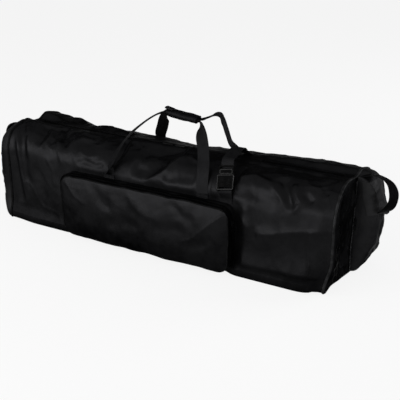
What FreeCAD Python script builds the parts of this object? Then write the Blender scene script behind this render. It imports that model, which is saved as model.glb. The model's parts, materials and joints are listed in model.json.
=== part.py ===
import FreeCAD, Part
import math
import os

# Drum hardware case: a long soft nylon case for stands, lying on its flat base.
# X runs along the case, to the right as seen from the pocket side. The pocket faces -Y.
# Z is up from the floor. The origin is on the floor, below the middle of the whole part.
# All sizes are millimetres.

V = FreeCAD.Vector

# Shell of the case
case_length = 1168.0        # between the outer faces of the two end welts
case_depth = 300.0
case_height = 312.0         # floor to the ridge of the top
wall = 3.0                  # padded nylon
top_corner_radius = 62.0
crown_radius = 330.0
base_corner_radius = 26.0
welt_width = 9.0
welt_proud = 4.0
board_thickness = 5.0
seam_gap = 0.3              # between two pieces that move apart
cloth_gap = 0.3             # between webbing and the cloth it lies on

# Top of the case: two pairs of flaps, fixed bands at the ends and under the strap
end_band_width = 26.0
strap_band_left = 200.0
strap_band_width = 90.0
hinge_stand_off = 3.0       # hinge line outside the wall, so that webbing folds freely

# Zips
zip_slot = 16.0
tape_width = 32.0
tape_thickness = 1.0
chain_width = 6.0
chain_height = 1.8
slider_length = 16.0
slider_width = 11.0
slider_clearance = 0.3
slider_plate = 1.6
bail_length = 6.0
bail_width = 2.4
bail_height = 3.2
bail_bar = 1.0
pin_radius = 0.7
pull_length = 27.0
pull_width = 8.0
pull_thickness = 1.4
pull_arm_width = 1.8
pull_play = 0.4
main_slider_left_x = -26.0
main_slider_right_x = 0.0
end_slider_drop = 134.0      # below the ridge
pocket_slider_drop = 46.0    # below the pocket's top edge

# Ends: a shallow half and a deep half on each side of an upright zip
shallow_bulge = 12.0
deep_bulge = 60.0
end_zip_foot = 30.0         # where the zip stops above the floor
patch_thickness = 2.0
patch_inset = 5.0           # from the edge of the end's bulging half
patch_width = 92.0
patch_height = 100.0
patch_top_drop = 14.0
bulge_shares = ((0.0, 1.0), (0.45, 0.93), (0.85, 0.74), (1.0, 0.52))  # of its depth and size
bulge_center_share = 0.42   # height of the fullest point, as a share of the case height

# Front pocket
pocket_left = -350.0
pocket_right = 281.0
pocket_bottom = 22.0
pocket_top_below_ridge = 90.0      # below the ridge
pocket_corner_radius = 34.0
pocket_depth = 45.0
gusset_depth = 26.0
gusset_wall = 2.5
face_thickness = 3.0
pocket_tape_thickness = 0.8
pocket_tape_width = 9.0
piping_size = 3.0
piping_proud = 2.0

# Webbing and carry handles
webbing_width = 38.0
webbing_thickness = 2.4
tightest_fold_share = 0.5   # narrowest that a folded webbing gets before it is no thicker
strap_rise = 1.2            # how far a leg lifts off the shoulder above its foot
handle_left_x = -160.0
handle_right_x = 173.0
grip_center_x = 20.0
grip_rise = 100.0           # from the ridge to the middle of the grip
grip_length = 112.0
grip_depth = 40.0
grip_height = 24.0
grip_corner = 9.0
grip_tilt = 6.3             # degrees, down to the right
grip_slot_width = 17.0
grip_slot_height = 6.0
grip_play = 0.5
grip_mouth = 3.0            # where the webbing is folded, out from each end of the grip
tab_length = 15.0
tab_width = 13.0
tab_height = 5.0

# Strap with its side release buckle
strap_x = 252.0
strap_landing_x = 225.0
strap_landing_y = 62.0
strap_rear_foot = 110.0
buckle_base_drop = 50.0     # below the ridge
buckle_base_out = 6.5       # from the front wall to the middle of the buckle
buckle_lean_x = -16.0
buckle_lean_y = 40.0
buckle_rise = 78.0
buckle_width = 52.0
buckle_thickness = 12.0
buckle_wall = 2.0
female_length = 46.0
female_solid = 12.0         # closed foot of the socket, which holds the web bar
male_length = 26.0
male_width = 46.0
buckle_play = 0.3
prong_length = 26.0
prong_width = 6.0
prong_bulge = 2.6
prong_bulge_length = 11.0
guide_width = 8.0
web_slot_length = 5.0
web_slot_margin = 4.0
slack_shares = ((0.13, 0.55), (0.32, 0.95), (0.55, 0.85), (0.80, 0.35))  # of the way, of the rise

# End handles
end_handle_y = 30.0
end_handle_top_in = 16.0    # how far out from the welt its upper end is sewn
end_handle_top_drop = 6.0   # below the ridge
end_handle_span = 94.0      # from its upper to its lower sewn end
end_handle_reach = 100.0    # furthest point, out from the welt
end_handle_upper_shares = ((0.0, 1.0), (0.45, 1.0), (0.84, 0.82), (1.0, 0.52))
end_handle_lower_shares = ((0.62, 0.16), (0.0, -0.06))   # of the reach and of the rise

pocket_top = case_height - pocket_top_below_ridge
end_slider_height = case_height - end_slider_drop
pocket_slider_height = pocket_top - pocket_slider_drop
grip_center_z = case_height + grip_rise
buckle_base_z = case_height - buckle_base_drop
end_handle_top_z = case_height - end_handle_top_drop
end_handle_bottom_z = end_handle_top_z - end_handle_span
half = case_depth / 2
end_x = case_length / 2
panel_end = end_x - welt_width
crown_lean = math.asin((half - top_corner_radius) / (crown_radius - top_corner_radius))
shoulder_z = (case_height - crown_radius
              + (crown_radius - top_corner_radius) * math.cos(crown_lean))
strap_band_right = strap_band_left + strap_band_width
flap_end = panel_end - end_band_width
handle_pad = webbing_thickness / 2 + cloth_gap
front_reach = half + pocket_depth + piping_proud
rear_reach = half + welt_proud
frame_shift = (front_reach - rear_reach) / 2
far = 2 * case_length       # larger than the whole part, for cutting windows


def block(x0, x1, y0, y1, z0, z1):
    """A box between two corners, given in any order along each axis."""
    low = V(min(x0, x1), min(y0, y1), min(z0, z1))
    return Part.makeBox(abs(x1 - x0), abs(y1 - y0), abs(z1 - z0), low)


def window(side, y_in, z0=-far, z1=far):
    """Everything on one side of the middle, from y_in outwards."""
    return block(-far, far, side * y_in, side * far, z0, z1)


def edges_along(shape, direction):
    """The straight edges of a shape that run along a direction."""
    return [edge for edge in shape.Edges if abs(edge.tangentAt(0).dot(direction)) > 0.5]


def arc(a, mid, b):
    return Part.Arc(V(*a), V(*mid), V(*b)).toShape()


def line(a, b):
    return Part.LineSegment(V(*a), V(*b)).toShape()


def outline(grow):
    """Cross-section of the case in the YZ plane, moved outwards by grow."""
    base_y = half - base_corner_radius
    side_y = half + grow
    corner_y = half - top_corner_radius
    low = -grow
    base_r = base_corner_radius + grow
    top_r = top_corner_radius + grow
    slant = math.sqrt(0.5)
    tip_y = corner_y + top_r * math.sin(crown_lean)
    tip_z = shoulder_z + top_r * math.cos(crown_lean)
    mid_angle = (math.pi / 2 - crown_lean) / 2
    mid_y = corner_y + top_r * math.cos(mid_angle)
    mid_z = shoulder_z + top_r * math.sin(mid_angle)
    edges = [line((0, -base_y, low), (0, base_y, low))]
    edges.append(arc((0, base_y, low),
                     (0, base_y + base_r * slant, base_corner_radius - base_r * slant),
                     (0, side_y, base_corner_radius)))
    edges.append(line((0, side_y, base_corner_radius), (0, side_y, shoulder_z)))
    edges.append(arc((0, side_y, shoulder_z), (0, mid_y, mid_z), (0, tip_y, tip_z)))
    edges.append(arc((0, tip_y, tip_z), (0, 0, case_height + grow), (0, -tip_y, tip_z)))
    edges.append(arc((0, -tip_y, tip_z), (0, -mid_y, mid_z), (0, -side_y, shoulder_z)))
    edges.append(line((0, -side_y, shoulder_z), (0, -side_y, base_corner_radius)))
    edges.append(arc((0, -side_y, base_corner_radius),
                     (0, -base_y - base_r * slant, base_corner_radius - base_r * slant),
                     (0, -base_y, low)))
    return Part.Wire(edges)


def sleeve(x0, x1, outer, inner):
    """A tube along X between two grown outlines of the case."""
    run = V(x1 - x0, 0, 0)
    tube = Part.Face(outline(outer)).extrude(run).cut(Part.Face(outline(inner)).extrude(run))
    tube.translate(V(x0, 0, 0))
    return tube


def case_panels():
    """Front, rear and bottom panels and the stiff board on the bottom."""
    length = 2 * panel_end
    shell = sleeve(-panel_end, panel_end, 0, -wall)
    board_y = half - base_corner_radius
    return {
        "front_panel": shell.common(window(-1, 0, base_corner_radius, shoulder_z)),
        "rear_panel": shell.common(window(1, 0, base_corner_radius, shoulder_z)),
        "bottom_panel": shell.common(block(-far, far, -far, far, -far, base_corner_radius)),
        "base_board": Part.makeBox(length, 2 * board_y, board_thickness,
                                   V(-panel_end, -board_y, wall)),
    }


def top_cloth(x0, x1, side, lift):
    """One side of the top between two places along the case, up to the zip slot."""
    return sleeve(x0, x1, 0, -wall).common(window(side, zip_slot / 2, shoulder_z + lift))


def zip_strip(x0, x1, side, inner):
    """One side of the top zip: its tape under the cloth and its row of teeth."""
    tape = sleeve(x0, x1, -wall, -wall - tape_thickness)
    teeth = sleeve(x0, x1, -wall + chain_height, -wall)
    over_top = block(-far, far, side * inner, side * tape_width / 2, shoulder_z, far)
    over_teeth = block(-far, far, side * inner, side * chain_width / 2, shoulder_z, far)
    return tape.common(over_top).fuse(teeth.common(over_teeth)).removeSplitter()


def top_pieces():
    """The four flaps with their zip halves, and the bands of the top that stay put."""
    pieces = {}
    spans = {"left": (-flap_end + seam_gap, strap_band_left - seam_gap),
             "right": (strap_band_right + seam_gap, flap_end - seam_gap)}
    for place, (x0, x1) in spans.items():
        for name, side in (("front", -1), ("rear", 1)):
            pieces[f"{name}_flap_{place}"] = top_cloth(x0, x1, side, seam_gap)
            pieces[f"{name}_zip_{place}"] = zip_strip(x0, x1, side, seam_gap / 2)
    bands = {"strap_band": (strap_band_left, strap_band_right),
             "left_end_band": (-panel_end, -flap_end),
             "right_end_band": (flap_end, panel_end)}
    for name, (x0, x1) in bands.items():
        cloth = top_cloth(x0, x1, -1, 0).fuse(top_cloth(x0, x1, 1, 0))
        tape = zip_strip(x0, x1, -1, 0).fuse(zip_strip(x0, x1, 1, 0))
        pieces[name] = Part.Compound(cloth.Solids + tape.removeSplitter().Solids)
    return pieces


def end_half(side, depth, grow):
    """The bulging half of an end on one side of its zip, as a solid on the welt's plane."""
    edge = zip_slot / 2 - grow
    flat = Part.Face(outline(grow)).common(window(side, edge))
    center = V(0, side * (half + edge) / 2, case_height * bulge_center_share)
    wires = []
    for depth_share, size_share in bulge_shares:
        wire = flat.Faces[0].OuterWire.copy()
        wire.scale(size_share, center)
        wire.translate(V(depth_share * (depth + grow), 0, 0))
        wires.append(wire)
    return Part.makeLoft(wires, True, True)


def end_zip():
    """The tape and teeth that run down the middle of an end."""
    top = case_height - wall
    tape = block(0, tape_thickness, -zip_slot / 2, zip_slot / 2, 0, top)
    teeth = block(tape_thickness, tape_thickness + chain_height,
                  -chain_width / 2, chain_width / 2, end_zip_foot, top)
    return tape.fuse(teeth).removeSplitter()


def spline_strip(points, thickness, y0, y1):
    """Webbing of even thickness whose middle follows a curve in an XZ plane."""
    middle = Part.BSplineCurve()
    middle.interpolate([V(x, y0, z) for x, z in points])
    sides = {1: [], -1: []}
    steps = 4 * len(points)
    for i in range(steps + 1):
        share = i / steps
        u = middle.FirstParameter + share * (middle.LastParameter - middle.FirstParameter)
        along = middle.tangent(u)[0]
        across = V(along.z, 0, -along.x)
        for sign, row in sides.items():
            row.append(middle.value(u) + across * (sign * thickness / 2))
    curves = []
    for row in sides.values():
        curve = Part.BSplineCurve()
        curve.interpolate(row)
        curves.append(curve.toShape())
    ends = [Part.makeLine(sides[1][k], sides[-1][k]) for k in (0, -1)]
    return Part.Face(Part.Wire(Part.sortEdges(curves + ends)[0])).extrude(V(0, y1 - y0, 0))


def end_handle():
    """The upright webbing loop at an end, out from the welt's plane."""
    upper_x = end_handle_top_in
    lower_x = deep_bulge + patch_thickness + handle_pad
    rise = end_handle_top_z + handle_pad - end_handle_bottom_z
    reach = end_handle_reach - webbing_thickness
    points = []
    for start, shares in ((upper_x, end_handle_upper_shares), (lower_x, end_handle_lower_shares)):
        for out_share, rise_share in shares:
            points.append((start + out_share * (reach - start),
                           end_handle_bottom_z + rise_share * rise))
    half_width = webbing_width / 2
    return spline_strip(points, webbing_thickness, end_handle_y - half_width,
                        end_handle_y + half_width)


def right_end():
    """Every fixed piece of the right end, in place."""
    deep = end_half(1, deep_bulge, 0)
    shallow = end_half(-1, shallow_bulge, 0)
    patch_y = zip_slot / 2 + patch_inset
    patch_top = case_height - patch_top_drop
    patch_area = block(-far, far, patch_y, patch_y + patch_width,
                       patch_top - patch_height, patch_top)
    patch = end_half(1, deep_bulge, patch_thickness).cut(deep).common(patch_area)
    handle = end_handle().cut(end_half(1, deep_bulge, patch_thickness + cloth_gap))
    pieces = {
        "end_rear": deep.cut(end_half(1, deep_bulge, -wall)),
        "end_front": shallow.cut(end_half(-1, shallow_bulge, -wall)),
        "end_zip": end_zip(),
        "end_patch": patch,
        "end_handle": max(handle.Solids, key=lambda solid: solid.Volume),
    }
    for shape in pieces.values():
        shape.translate(V(end_x, 0, 0))
    welt = sleeve(panel_end, end_x, welt_proud, -wall)
    pieces["end_welt"] = welt.common(block(-far, far, -far, far, 0, far))
    return pieces


def end_pieces():
    """Both ends: the left one is the right one turned half round."""
    pieces = {}
    turned = {"end_rear": "end_front", "end_front": "end_rear"}
    for name, shape in right_end().items():
        pieces[f"right_{name}"] = shape
        left = shape.copy()
        left.rotate(V(0, 0, 0), V(0, 0, 1), 180)
        pieces[f"left_{turned.get(name, name)}"] = left
    return pieces


def slab_outline(grow, y):
    """Rounded rectangle of the pocket in an XZ plane, moved outwards by grow."""
    x0, x1 = pocket_left - grow, pocket_right + grow
    z0, z1 = pocket_bottom - grow, pocket_top + grow
    r = pocket_corner_radius + grow
    cut = r * (1 - math.sqrt(0.5))
    return Part.Wire([
        line((x0 + r, y, z0), (x1 - r, y, z0)),
        arc((x1 - r, y, z0), (x1 - cut, y, z0 + cut), (x1, y, z0 + r)),
        line((x1, y, z0 + r), (x1, y, z1 - r)),
        arc((x1, y, z1 - r), (x1 - cut, y, z1 - cut), (x1 - r, y, z1)),
        line((x1 - r, y, z1), (x0 + r, y, z1)),
        arc((x0 + r, y, z1), (x0 + cut, y, z1 - cut), (x0, y, z1 - r)),
        line((x0, y, z1 - r), (x0, y, z0 + r)),
        arc((x0, y, z0 + r), (x0 + cut, y, z0 + cut), (x0 + r, y, z0))])


def slab(grow, y0, y1):
    return Part.Face(slab_outline(grow, y0)).extrude(V(0, y1 - y0, 0))


def pocket_ring(outer, inner, y0, y1):
    return slab(outer, y0, y1).cut(slab(inner, y0, y1))


def pocket_pieces():
    """The raised pocket: a gusset on the case and a face that folds down."""
    split = -half - gusset_depth
    face_back = split - seam_gap
    face_front = -half - pocket_depth
    above_hinge = block(-far, far, -far, far, pocket_bottom + pocket_corner_radius, far)
    teeth_grow = pocket_tape_thickness + chain_height
    teeth_half = chain_width / 2

    def zip_side(y_edge, direction):
        tape = pocket_ring(pocket_tape_thickness, 0, y_edge, y_edge + direction * pocket_tape_width)
        teeth = pocket_ring(teeth_grow, pocket_tape_thickness,
                            y_edge, y_edge + direction * teeth_half)
        return tape.fuse(teeth).common(above_hinge).removeSplitter()

    return {
        "pocket_gusset": pocket_ring(0, -gusset_wall, -half, split),
        "pocket_zip_inner": zip_side(split, 1),
        "pocket_zip_outer": zip_side(face_back, -1),
        "pocket_side_band": pocket_ring(0, -gusset_wall, face_back, face_front + face_thickness),
        "pocket_face": slab(0, face_front + face_thickness, face_front),
        "pocket_piping": pocket_ring(piping_proud, 0, face_front + piping_size,
                                     face_front - piping_proud),
    }


def slider_body(open_side, half_width):
    """A zip slider that rides over the teeth along X, with its back to +Z.

    On its open side (1, -1 or 0 for none) it reaches only to half_width from the middle of
    the teeth, so that the row on that side can leave it.
    """
    low = slider_clearance
    top = chain_height + slider_clearance + slider_plate
    x = slider_length / 2
    y = slider_width / 2
    body = block(-x, x, -y, y, low, top)
    body = body.makeFillet(slider_width / 4, edges_along(body, V(0, 0, 1)))
    channel = chain_width / 2 + slider_clearance
    body = body.cut(block(-far, far, -channel, channel, -far, chain_height + slider_clearance))
    if open_side:
        body = body.cut(window(open_side, half_width))
    middle = bail_middle(open_side, half_width)
    bail = block(-bail_length / 2, bail_length / 2, middle - bail_width / 2,
                 middle + bail_width / 2, top, top + bail_height)
    opening = block(bail_bar - bail_length / 2, bail_length / 2 - bail_bar,
                    -far, far, top, top + bail_height - bail_bar)
    return body.fuse(bail.cut(opening)).removeSplitter()


def bail_middle(open_side, half_width):
    """How far the bail stands to one side, so that the pull stays off the open side."""
    if half_width > 0 or not open_side:
        return 0
    return -open_side * (pull_width / 2 + seam_gap)


def pull_height():
    """Height of the pull's pin above the zip tape."""
    return (chain_height + slider_clearance + slider_plate
            + (bail_height - bail_bar) / 2)


def slider_pull(open_side, half_width):
    """A pull lying towards -X, with its pin through the slider's bail."""
    z = pull_height()
    arm_in = bail_width / 2 + pull_play
    arm_out = arm_in + pull_arm_width
    pin = Part.makeCylinder(pin_radius, 2 * arm_out, V(0, -arm_out, z), V(0, 1, 0))
    t = pull_thickness / 2
    clear = math.hypot(bail_length / 2, (bail_height + bail_bar) / 2) + pull_play
    shape = pin
    for side in (-1, 1):
        shape = shape.fuse(block(-clear, pin_radius, side * arm_in, side * arm_out, z - t, z + t))
    plate = block(-pull_length, -clear, -pull_width / 2, pull_width / 2, z - t, z + t)
    plate = plate.makeFillet(pull_width / 4, edges_along(plate, V(0, 0, 1)))
    shape = shape.fuse(plate).removeSplitter()
    shape.translate(V(0, bail_middle(open_side, half_width), 0))
    return shape


def placed(shape, origin, along, back):
    """Move a shape so that its X runs along one direction and its Z along another."""
    along, back = V(*along), V(*back)
    across = back.cross(along)
    matrix = FreeCAD.Matrix(along.x, across.x, back.x, origin[0],
                            along.y, across.y, back.y, origin[1],
                            along.z, across.z, back.z, origin[2])
    moved = shape.copy()
    moved.Placement = FreeCAD.Placement(matrix).multiply(shape.Placement)
    return moved


def slider_places():
    """Each slider's place, the way it runs, the way its back faces and its open side.

    The main sliders keep to the row of the front flap, and the pocket's slider has no flange
    on the face's row, so that flaps and face can open wherever the sliders are.
    """
    ridge = case_height - wall
    end_face = end_x + tape_thickness
    pocket_side = pocket_right + pocket_tape_thickness
    pocket_y = -half - gusset_depth - seam_gap / 2
    on_seam = -seam_gap / 2
    past_teeth = chain_width / 2 + slider_clearance
    return {
        "main_slider_left": ((main_slider_left_x, 0, ridge), (1, 0, 0), (0, 0, 1), 1, on_seam),
        "main_slider_right": ((main_slider_right_x, 0, ridge), (-1, 0, 0), (0, 0, 1), -1, on_seam),
        "right_end_slider": ((end_face, 0, end_slider_height), (0, 0, 1), (1, 0, 0), 0, 0),
        "left_end_slider": ((-end_face, 0, end_slider_height), (0, 0, 1), (-1, 0, 0), 0, 0),
        "pocket_slider": ((pocket_side, pocket_y, pocket_slider_height), (0, 0, 1), (1, 0, 0),
                          1, past_teeth),
    }


def slider_pieces():
    pieces = {}
    for name, (origin, along, back, open_side, half_width) in slider_places().items():
        body = slider_body(open_side, half_width)
        pull = slider_pull(open_side, half_width)
        pieces[name] = placed(body, origin, along, back)
        pieces[name.replace("slider", "pull")] = placed(pull, origin, along, back)
    return pieces


def web_section(center, along, lay, width, thickness):
    """A flat rectangle across a strap: lay is the way its width should point."""
    across = (lay - along * lay.dot(along)).normalize()
    out = along.cross(across).normalize()
    a, b = across * (width / 2), out * (thickness / 2)
    corners = [center + a + b, center - a + b, center - a - b, center + a - b]
    return Part.makePolygon(corners + corners[:1])


def strap_loft(stations, upright_ends=()):
    """Webbing through (centre, lay, width, thickness) stations in order.

    The stations named in upright_ends are cut level, where the strap stands upright.
    """
    wires = []
    last = len(stations) - 1
    for i, (center, lay, width, thickness) in enumerate(stations):
        along = (stations[min(i + 1, last)][0] - stations[max(i - 1, 0)][0]).normalize()
        if i in upright_ends:
            along = V(0, 0, math.copysign(1, along.z))
        wires.append(web_section(center, along, lay, width, thickness))
    return Part.makeLoft(wires, True, True)


def off_cloth(center):
    """Move a point of a strap's middle out of the rounded shoulder, if it is too near."""
    corner_y = half - top_corner_radius
    out, up = abs(center.y) - corner_y, center.z - shoulder_z
    reach = math.hypot(out, up)
    least = top_corner_radius + handle_pad + strap_rise
    if out < 0 or up < seam_gap or reach >= least:
        return center
    y = corner_y + out * least / reach
    return V(center.x, math.copysign(y, center.y), shoulder_z + up * least / reach)


# Each leg from its sewn foot to the grip: shares of the way along X, across Y and up,
# the share of its quarter twist, and its width as a share of the webbing's width
front_left_leg_shares = (
    (0.0, 0.0, 0.0, 0.0, 1.0), (0.06, 0.05, 0.167, 0.0, 1.0), (0.19, 0.16, 0.356, 0.2, 1.0),
    (0.31, 0.33, 0.572, 0.8, 1.0), (0.42, 0.44, 0.717, 0.95, 0.95),
    (0.73, 0.70, 0.92, 1.0, 0.75), (0.90, 0.90, 0.99, 1.0, 0.5))
front_right_leg_shares = (
    (0.0, 0.0, 0.0, 0.0, 1.0), (0.05, 0.06, 0.20, 0.0, 1.0), (0.10, 0.155, 0.37, 0.0, 1.0),
    (0.22, 0.31, 0.51, 0.1, 1.0), (0.37, 0.47, 0.68, 0.25, 1.0),
    (0.60, 0.68, 0.845, 0.6, 0.8), (0.83, 0.89, 0.976, 1.0, 0.5))
rear_left_leg_shares = (
    (0.0, 0.0, 0.0, 0.0, 1.0), (0.06, 0.085, 0.19, 0.0, 1.0), (0.135, 0.21, 0.33, 0.0, 1.0),
    (0.40, 0.47, 0.56, 0.2, 1.0), (0.62, 0.68, 0.76, 0.5, 0.9), (0.86, 0.88, 0.95, 0.95, 0.55))
rear_right_leg_shares = (
    (0.0, 0.0, 0.0, 0.0, 1.0), (0.12, 0.05, 0.20, 0.0, 1.0), (0.30, 0.26, 0.405, 0.15, 1.0),
    (0.36, 0.50, 0.68, 0.55, 0.9), (0.31, 0.70, 0.95, 0.8, 0.8), (0.37, 0.82, 1.10, 0.9, 0.75),
    (0.50, 0.90, 1.14, 1.0, 0.65), (0.74, 0.97, 1.09, 1.0, 0.5))


def grip_end(side, x_sign):
    """Where the webbing of one handle enters the grip."""
    reach = x_sign * (grip_length / 2 + grip_mouth)
    tilt = math.radians(grip_tilt)
    return V(grip_center_x + reach * math.cos(tilt), side * grip_depth / 4,
             grip_center_z - reach * math.sin(tilt))


def smoothed(stations):
    """The same strap with twice as many stations, on a curve through the given ones."""
    curve = Part.BSplineCurve()
    centers = [station[0] for station in stations]
    curve.interpolate(centers)
    knots = [curve.parameter(center) for center in centers]
    result = [stations[0]]
    for i in range(1, len(stations)):
        before, after = stations[i - 1], stations[i]
        between = [(a + b) / 2 for a, b in zip(before[2:], after[2:])]
        middle = off_cloth(curve.value((knots[i - 1] + knots[i]) / 2))
        result += [(middle, (before[1] + after[1]).normalize(), *between), after]
    return result


def leg_stations(foot_x, side, end, shares):
    foot = V(foot_x, side * (half + handle_pad), shoulder_z + seam_gap)
    rise = end - foot
    stations = []
    for x_share, y_share, z_share, twist_share, width_share in shares:
        center = off_cloth(foot + V(rise.x * x_share, rise.y * y_share, rise.z * z_share))
        turn = twist_share * math.pi / 2
        lay = V(math.cos(turn), side * math.sin(turn) * math.copysign(1, -rise.x), 0)
        thickness = webbing_thickness / max(width_share, tightest_fold_share)
        stations.append((center, lay, webbing_width * width_share, thickness))
    return stations


def handle_webbing(side, left_shares, right_shares):
    """One carry handle's webbing, from foot to foot through the grip."""
    ends = [grip_end(side, -1), grip_end(side, 1)]
    folded = (grip_slot_width - 2 * grip_play, grip_slot_height - 2 * grip_play)
    left = leg_stations(handle_left_x, side, ends[0], left_shares)
    right = leg_stations(handle_right_x, side, ends[1], right_shares)
    lay_left, lay_right = left[-1][1], right[-1][1]
    middle = [(ends[0], lay_left, *folded), (ends[1], lay_left, *folded)]
    if lay_left.dot(lay_right) < 0:
        right = [(center, lay * -1, width, thick) for center, lay, width, thick in right]
    stations = smoothed(left) + middle + smoothed(right)[::-1]
    return strap_loft(stations, (0, len(stations) - 1))


def grip_half(side):
    """Half of the padded wrap round both handles, with a channel for its own webbing."""
    x = grip_length / 2
    wrap = block(-x, x, -grip_depth / 2, grip_depth / 2, -grip_height / 2, grip_height / 2)
    wrap = wrap.makeFillet(grip_corner, edges_along(wrap, V(1, 0, 0)))
    wrap = wrap.common(window(side, seam_gap / 2))
    middle = side * grip_depth / 4
    channel = block(-far, far, middle - grip_slot_width / 2, middle + grip_slot_width / 2,
                    -grip_slot_height / 2, grip_slot_height / 2)
    wrap = wrap.cut(channel)
    if side < 0:
        wrap = wrap.fuse(grip_tab())
    wrap.rotate(V(0, 0, 0), V(0, 1, 0), grip_tilt)
    wrap.translate(V(grip_center_x, 0, grip_center_z))
    return wrap


def grip_tab():
    """Pull tab at the left end of the wrap's closing edge."""
    x = -grip_length / 2
    return block(x, x + tab_length, -tab_width - seam_gap, -seam_gap,
                 grip_height / 2 - seam_gap, grip_height / 2 + tab_height)


def handle_pieces():
    """Carry handles, the parts of their webbing sewn to the panels, and the grip."""
    pieces = {
        "front_handle": handle_webbing(-1, front_left_leg_shares, front_right_leg_shares),
        "rear_handle": handle_webbing(1, rear_left_leg_shares, rear_right_leg_shares),
        "front_grip_half": grip_half(-1),
        "rear_grip_half": grip_half(1),
    }
    for place, x in (("left", handle_left_x), ("right", handle_right_x)):
        x0, x1 = x - webbing_width / 2, x + webbing_width / 2
        front_y, rear_y = -half, half
        pieces[f"front_strap_{place}"] = block(x0, x1, front_y, front_y - webbing_thickness,
                                               pocket_top + seam_gap, shoulder_z)
        pieces[f"rear_strap_{place}"] = block(x0, x1, rear_y, rear_y + webbing_thickness,
                                              base_corner_radius, shoulder_z)
    return pieces


def buckle_frame():
    """The buckle's foot, its long direction, its width direction and the way its back faces."""
    foot = V(strap_x, -half - buckle_base_out, buckle_base_z)
    along = V(buckle_lean_x, buckle_lean_y, buckle_rise).normalize()
    width = V(1, 0, 0)
    width = (width - along * width.dot(along)).normalize()
    return foot, along, width, along.cross(width).normalize()


def on_buckle(shape):
    """Place a piece built with X across the buckle, Y to its back and Z along it."""
    foot, along, width, back = buckle_frame()
    matrix = FreeCAD.Matrix(width.x, back.x, along.x, foot.x,
                            width.y, back.y, along.y, foot.y,
                            width.z, back.z, along.z, foot.z)
    moved = shape.copy()
    moved.Placement = FreeCAD.Placement(matrix)
    return moved


def buckle_pieces():
    """Socket, plug and the two springy prongs of the side release buckle."""
    w, t = buckle_width / 2, buckle_thickness / 2
    inner_t = t - buckle_wall
    socket = block(-w, w, -t, t, 0, female_length)
    socket = socket.makeFillet(buckle_wall, edges_along(socket, V(0, 0, 1)))
    socket = socket.cut(block(-far, far, -inner_t, inner_t, female_solid, far))
    slot_w = webbing_width / 2
    socket = socket.cut(block(-slot_w, slot_w, -far, far, web_slot_margin,
                              web_slot_margin + web_slot_length))
    plug_t = inner_t - buckle_play
    plug_z = female_length + buckle_play
    m = male_width / 2
    plug = block(-m, m, -plug_t, plug_t, plug_z, plug_z + male_length)
    plug = plug.makeFillet(buckle_wall, edges_along(plug, V(0, 1, 0)))
    slot_top = plug_z + male_length - web_slot_margin
    plug = plug.cut(block(-slot_w, slot_w, -far, far, slot_top - web_slot_length, slot_top))
    guide_foot = plug_z - prong_length
    plug = plug.fuse(block(-guide_width / 2, guide_width / 2, -plug_t, plug_t,
                           guide_foot, plug_z + buckle_wall)).removeSplitter()
    prongs = {}
    for name, side in (("left", -1), ("right", 1)):
        outer = side * (m - buckle_play)
        top = plug_z - 2 * buckle_play
        arm = block(outer, outer - side * prong_width, -plug_t, plug_t, guide_foot, top)
        bulge = block(outer, outer + side * prong_bulge, -plug_t, plug_t,
                      guide_foot, guide_foot + prong_bulge_length)
        prongs[f"buckle_prong_{name}"] = on_buckle(arm.fuse(bulge).removeSplitter())
    return {"buckle_socket": on_buckle(socket), "buckle_plug": on_buckle(plug), **prongs}


def on_crown(y):
    """A point of the middle of the strap where it lies on the top of the case."""
    rise = math.sqrt(crown_radius ** 2 - y ** 2) - crown_radius
    return V(strap_landing_x, y, case_height + rise + handle_pad)


def strap_pieces():
    """The strap below the buckle, the slack part over the top and the sewn part behind."""
    foot, along, width, back = buckle_frame()
    lay = V(1, 0, 0)
    skin_y = -half - handle_pad
    low_z = pocket_top + seam_gap
    size = (webbing_width, webbing_thickness)
    lower = strap_loft([(V(strap_x, skin_y, low_z), lay, *size),
                        (V(strap_x, skin_y, shoulder_z), lay, *size),
                        (foot - along * (2 * webbing_thickness), width, *size),
                        (foot - along * seam_gap, width, *size)], (0,))
    behind = buckle_thickness / 2 - buckle_wall - buckle_play + handle_pad
    tip = foot + along * (female_length + male_length / 2) + back * behind
    top = foot + along * (female_length + male_length + webbing_width / 2) + back * behind
    landing = on_crown(strap_landing_y)
    run = landing - top
    slack = webbing_width / 2
    stations = [(tip, width, *size), (top, width, *size)]
    for way_share, lift_share in slack_shares:
        stations.append((top + run * way_share + V(0, 0, slack * lift_share), lay, *size))
    stations.append((on_crown(strap_landing_y - 2 * webbing_thickness), lay, *size))
    stations.append((landing, lay, *size))
    over = sleeve(strap_landing_x - webbing_width / 2, strap_landing_x + webbing_width / 2,
                  cloth_gap + webbing_thickness, cloth_gap)
    rear = over.common(window(1, strap_landing_y + seam_gap, strap_rear_foot, far))
    return {"lower_strap": lower, "slack_strap": strap_loft(stations), "rear_web": rear}


def joint_points():
    """A point on the line of each hinge, in the finished part's own frame."""
    lift = V(0, frame_shift, 0)
    foot, along, width, _ = buckle_frame()
    hinge_y = half + hinge_stand_off
    prong_top = foot + along * (female_length - buckle_play)
    prong_x = male_width / 2 - buckle_play - prong_width / 2
    points = {
        "front_flaps_and_handle": V(0, -hinge_y, shoulder_z) + lift,
        "rear_flaps_and_handle": V(0, hinge_y, shoulder_z) + lift,
        "pocket_face": V(0, -half - gusset_depth - seam_gap / 2, pocket_bottom) + lift,
        "buckle_prong_left": prong_top - width * prong_x + lift,
        "buckle_prong_right": prong_top + width * prong_x + lift,
    }
    for name, (origin, _, back, _, _) in slider_places().items():
        points[name.replace("slider", "pull")] = V(*origin) + V(*back) * pull_height() + lift
    return points


def all_pieces():
    pieces = {}
    for group in (case_panels, top_pieces, end_pieces, pocket_pieces, slider_pieces,
                  handle_pieces, buckle_pieces, strap_pieces):
        pieces.update(group())
    for shape in pieces.values():
        shape.translate(V(0, frame_shift, 0))
    return pieces


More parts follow.
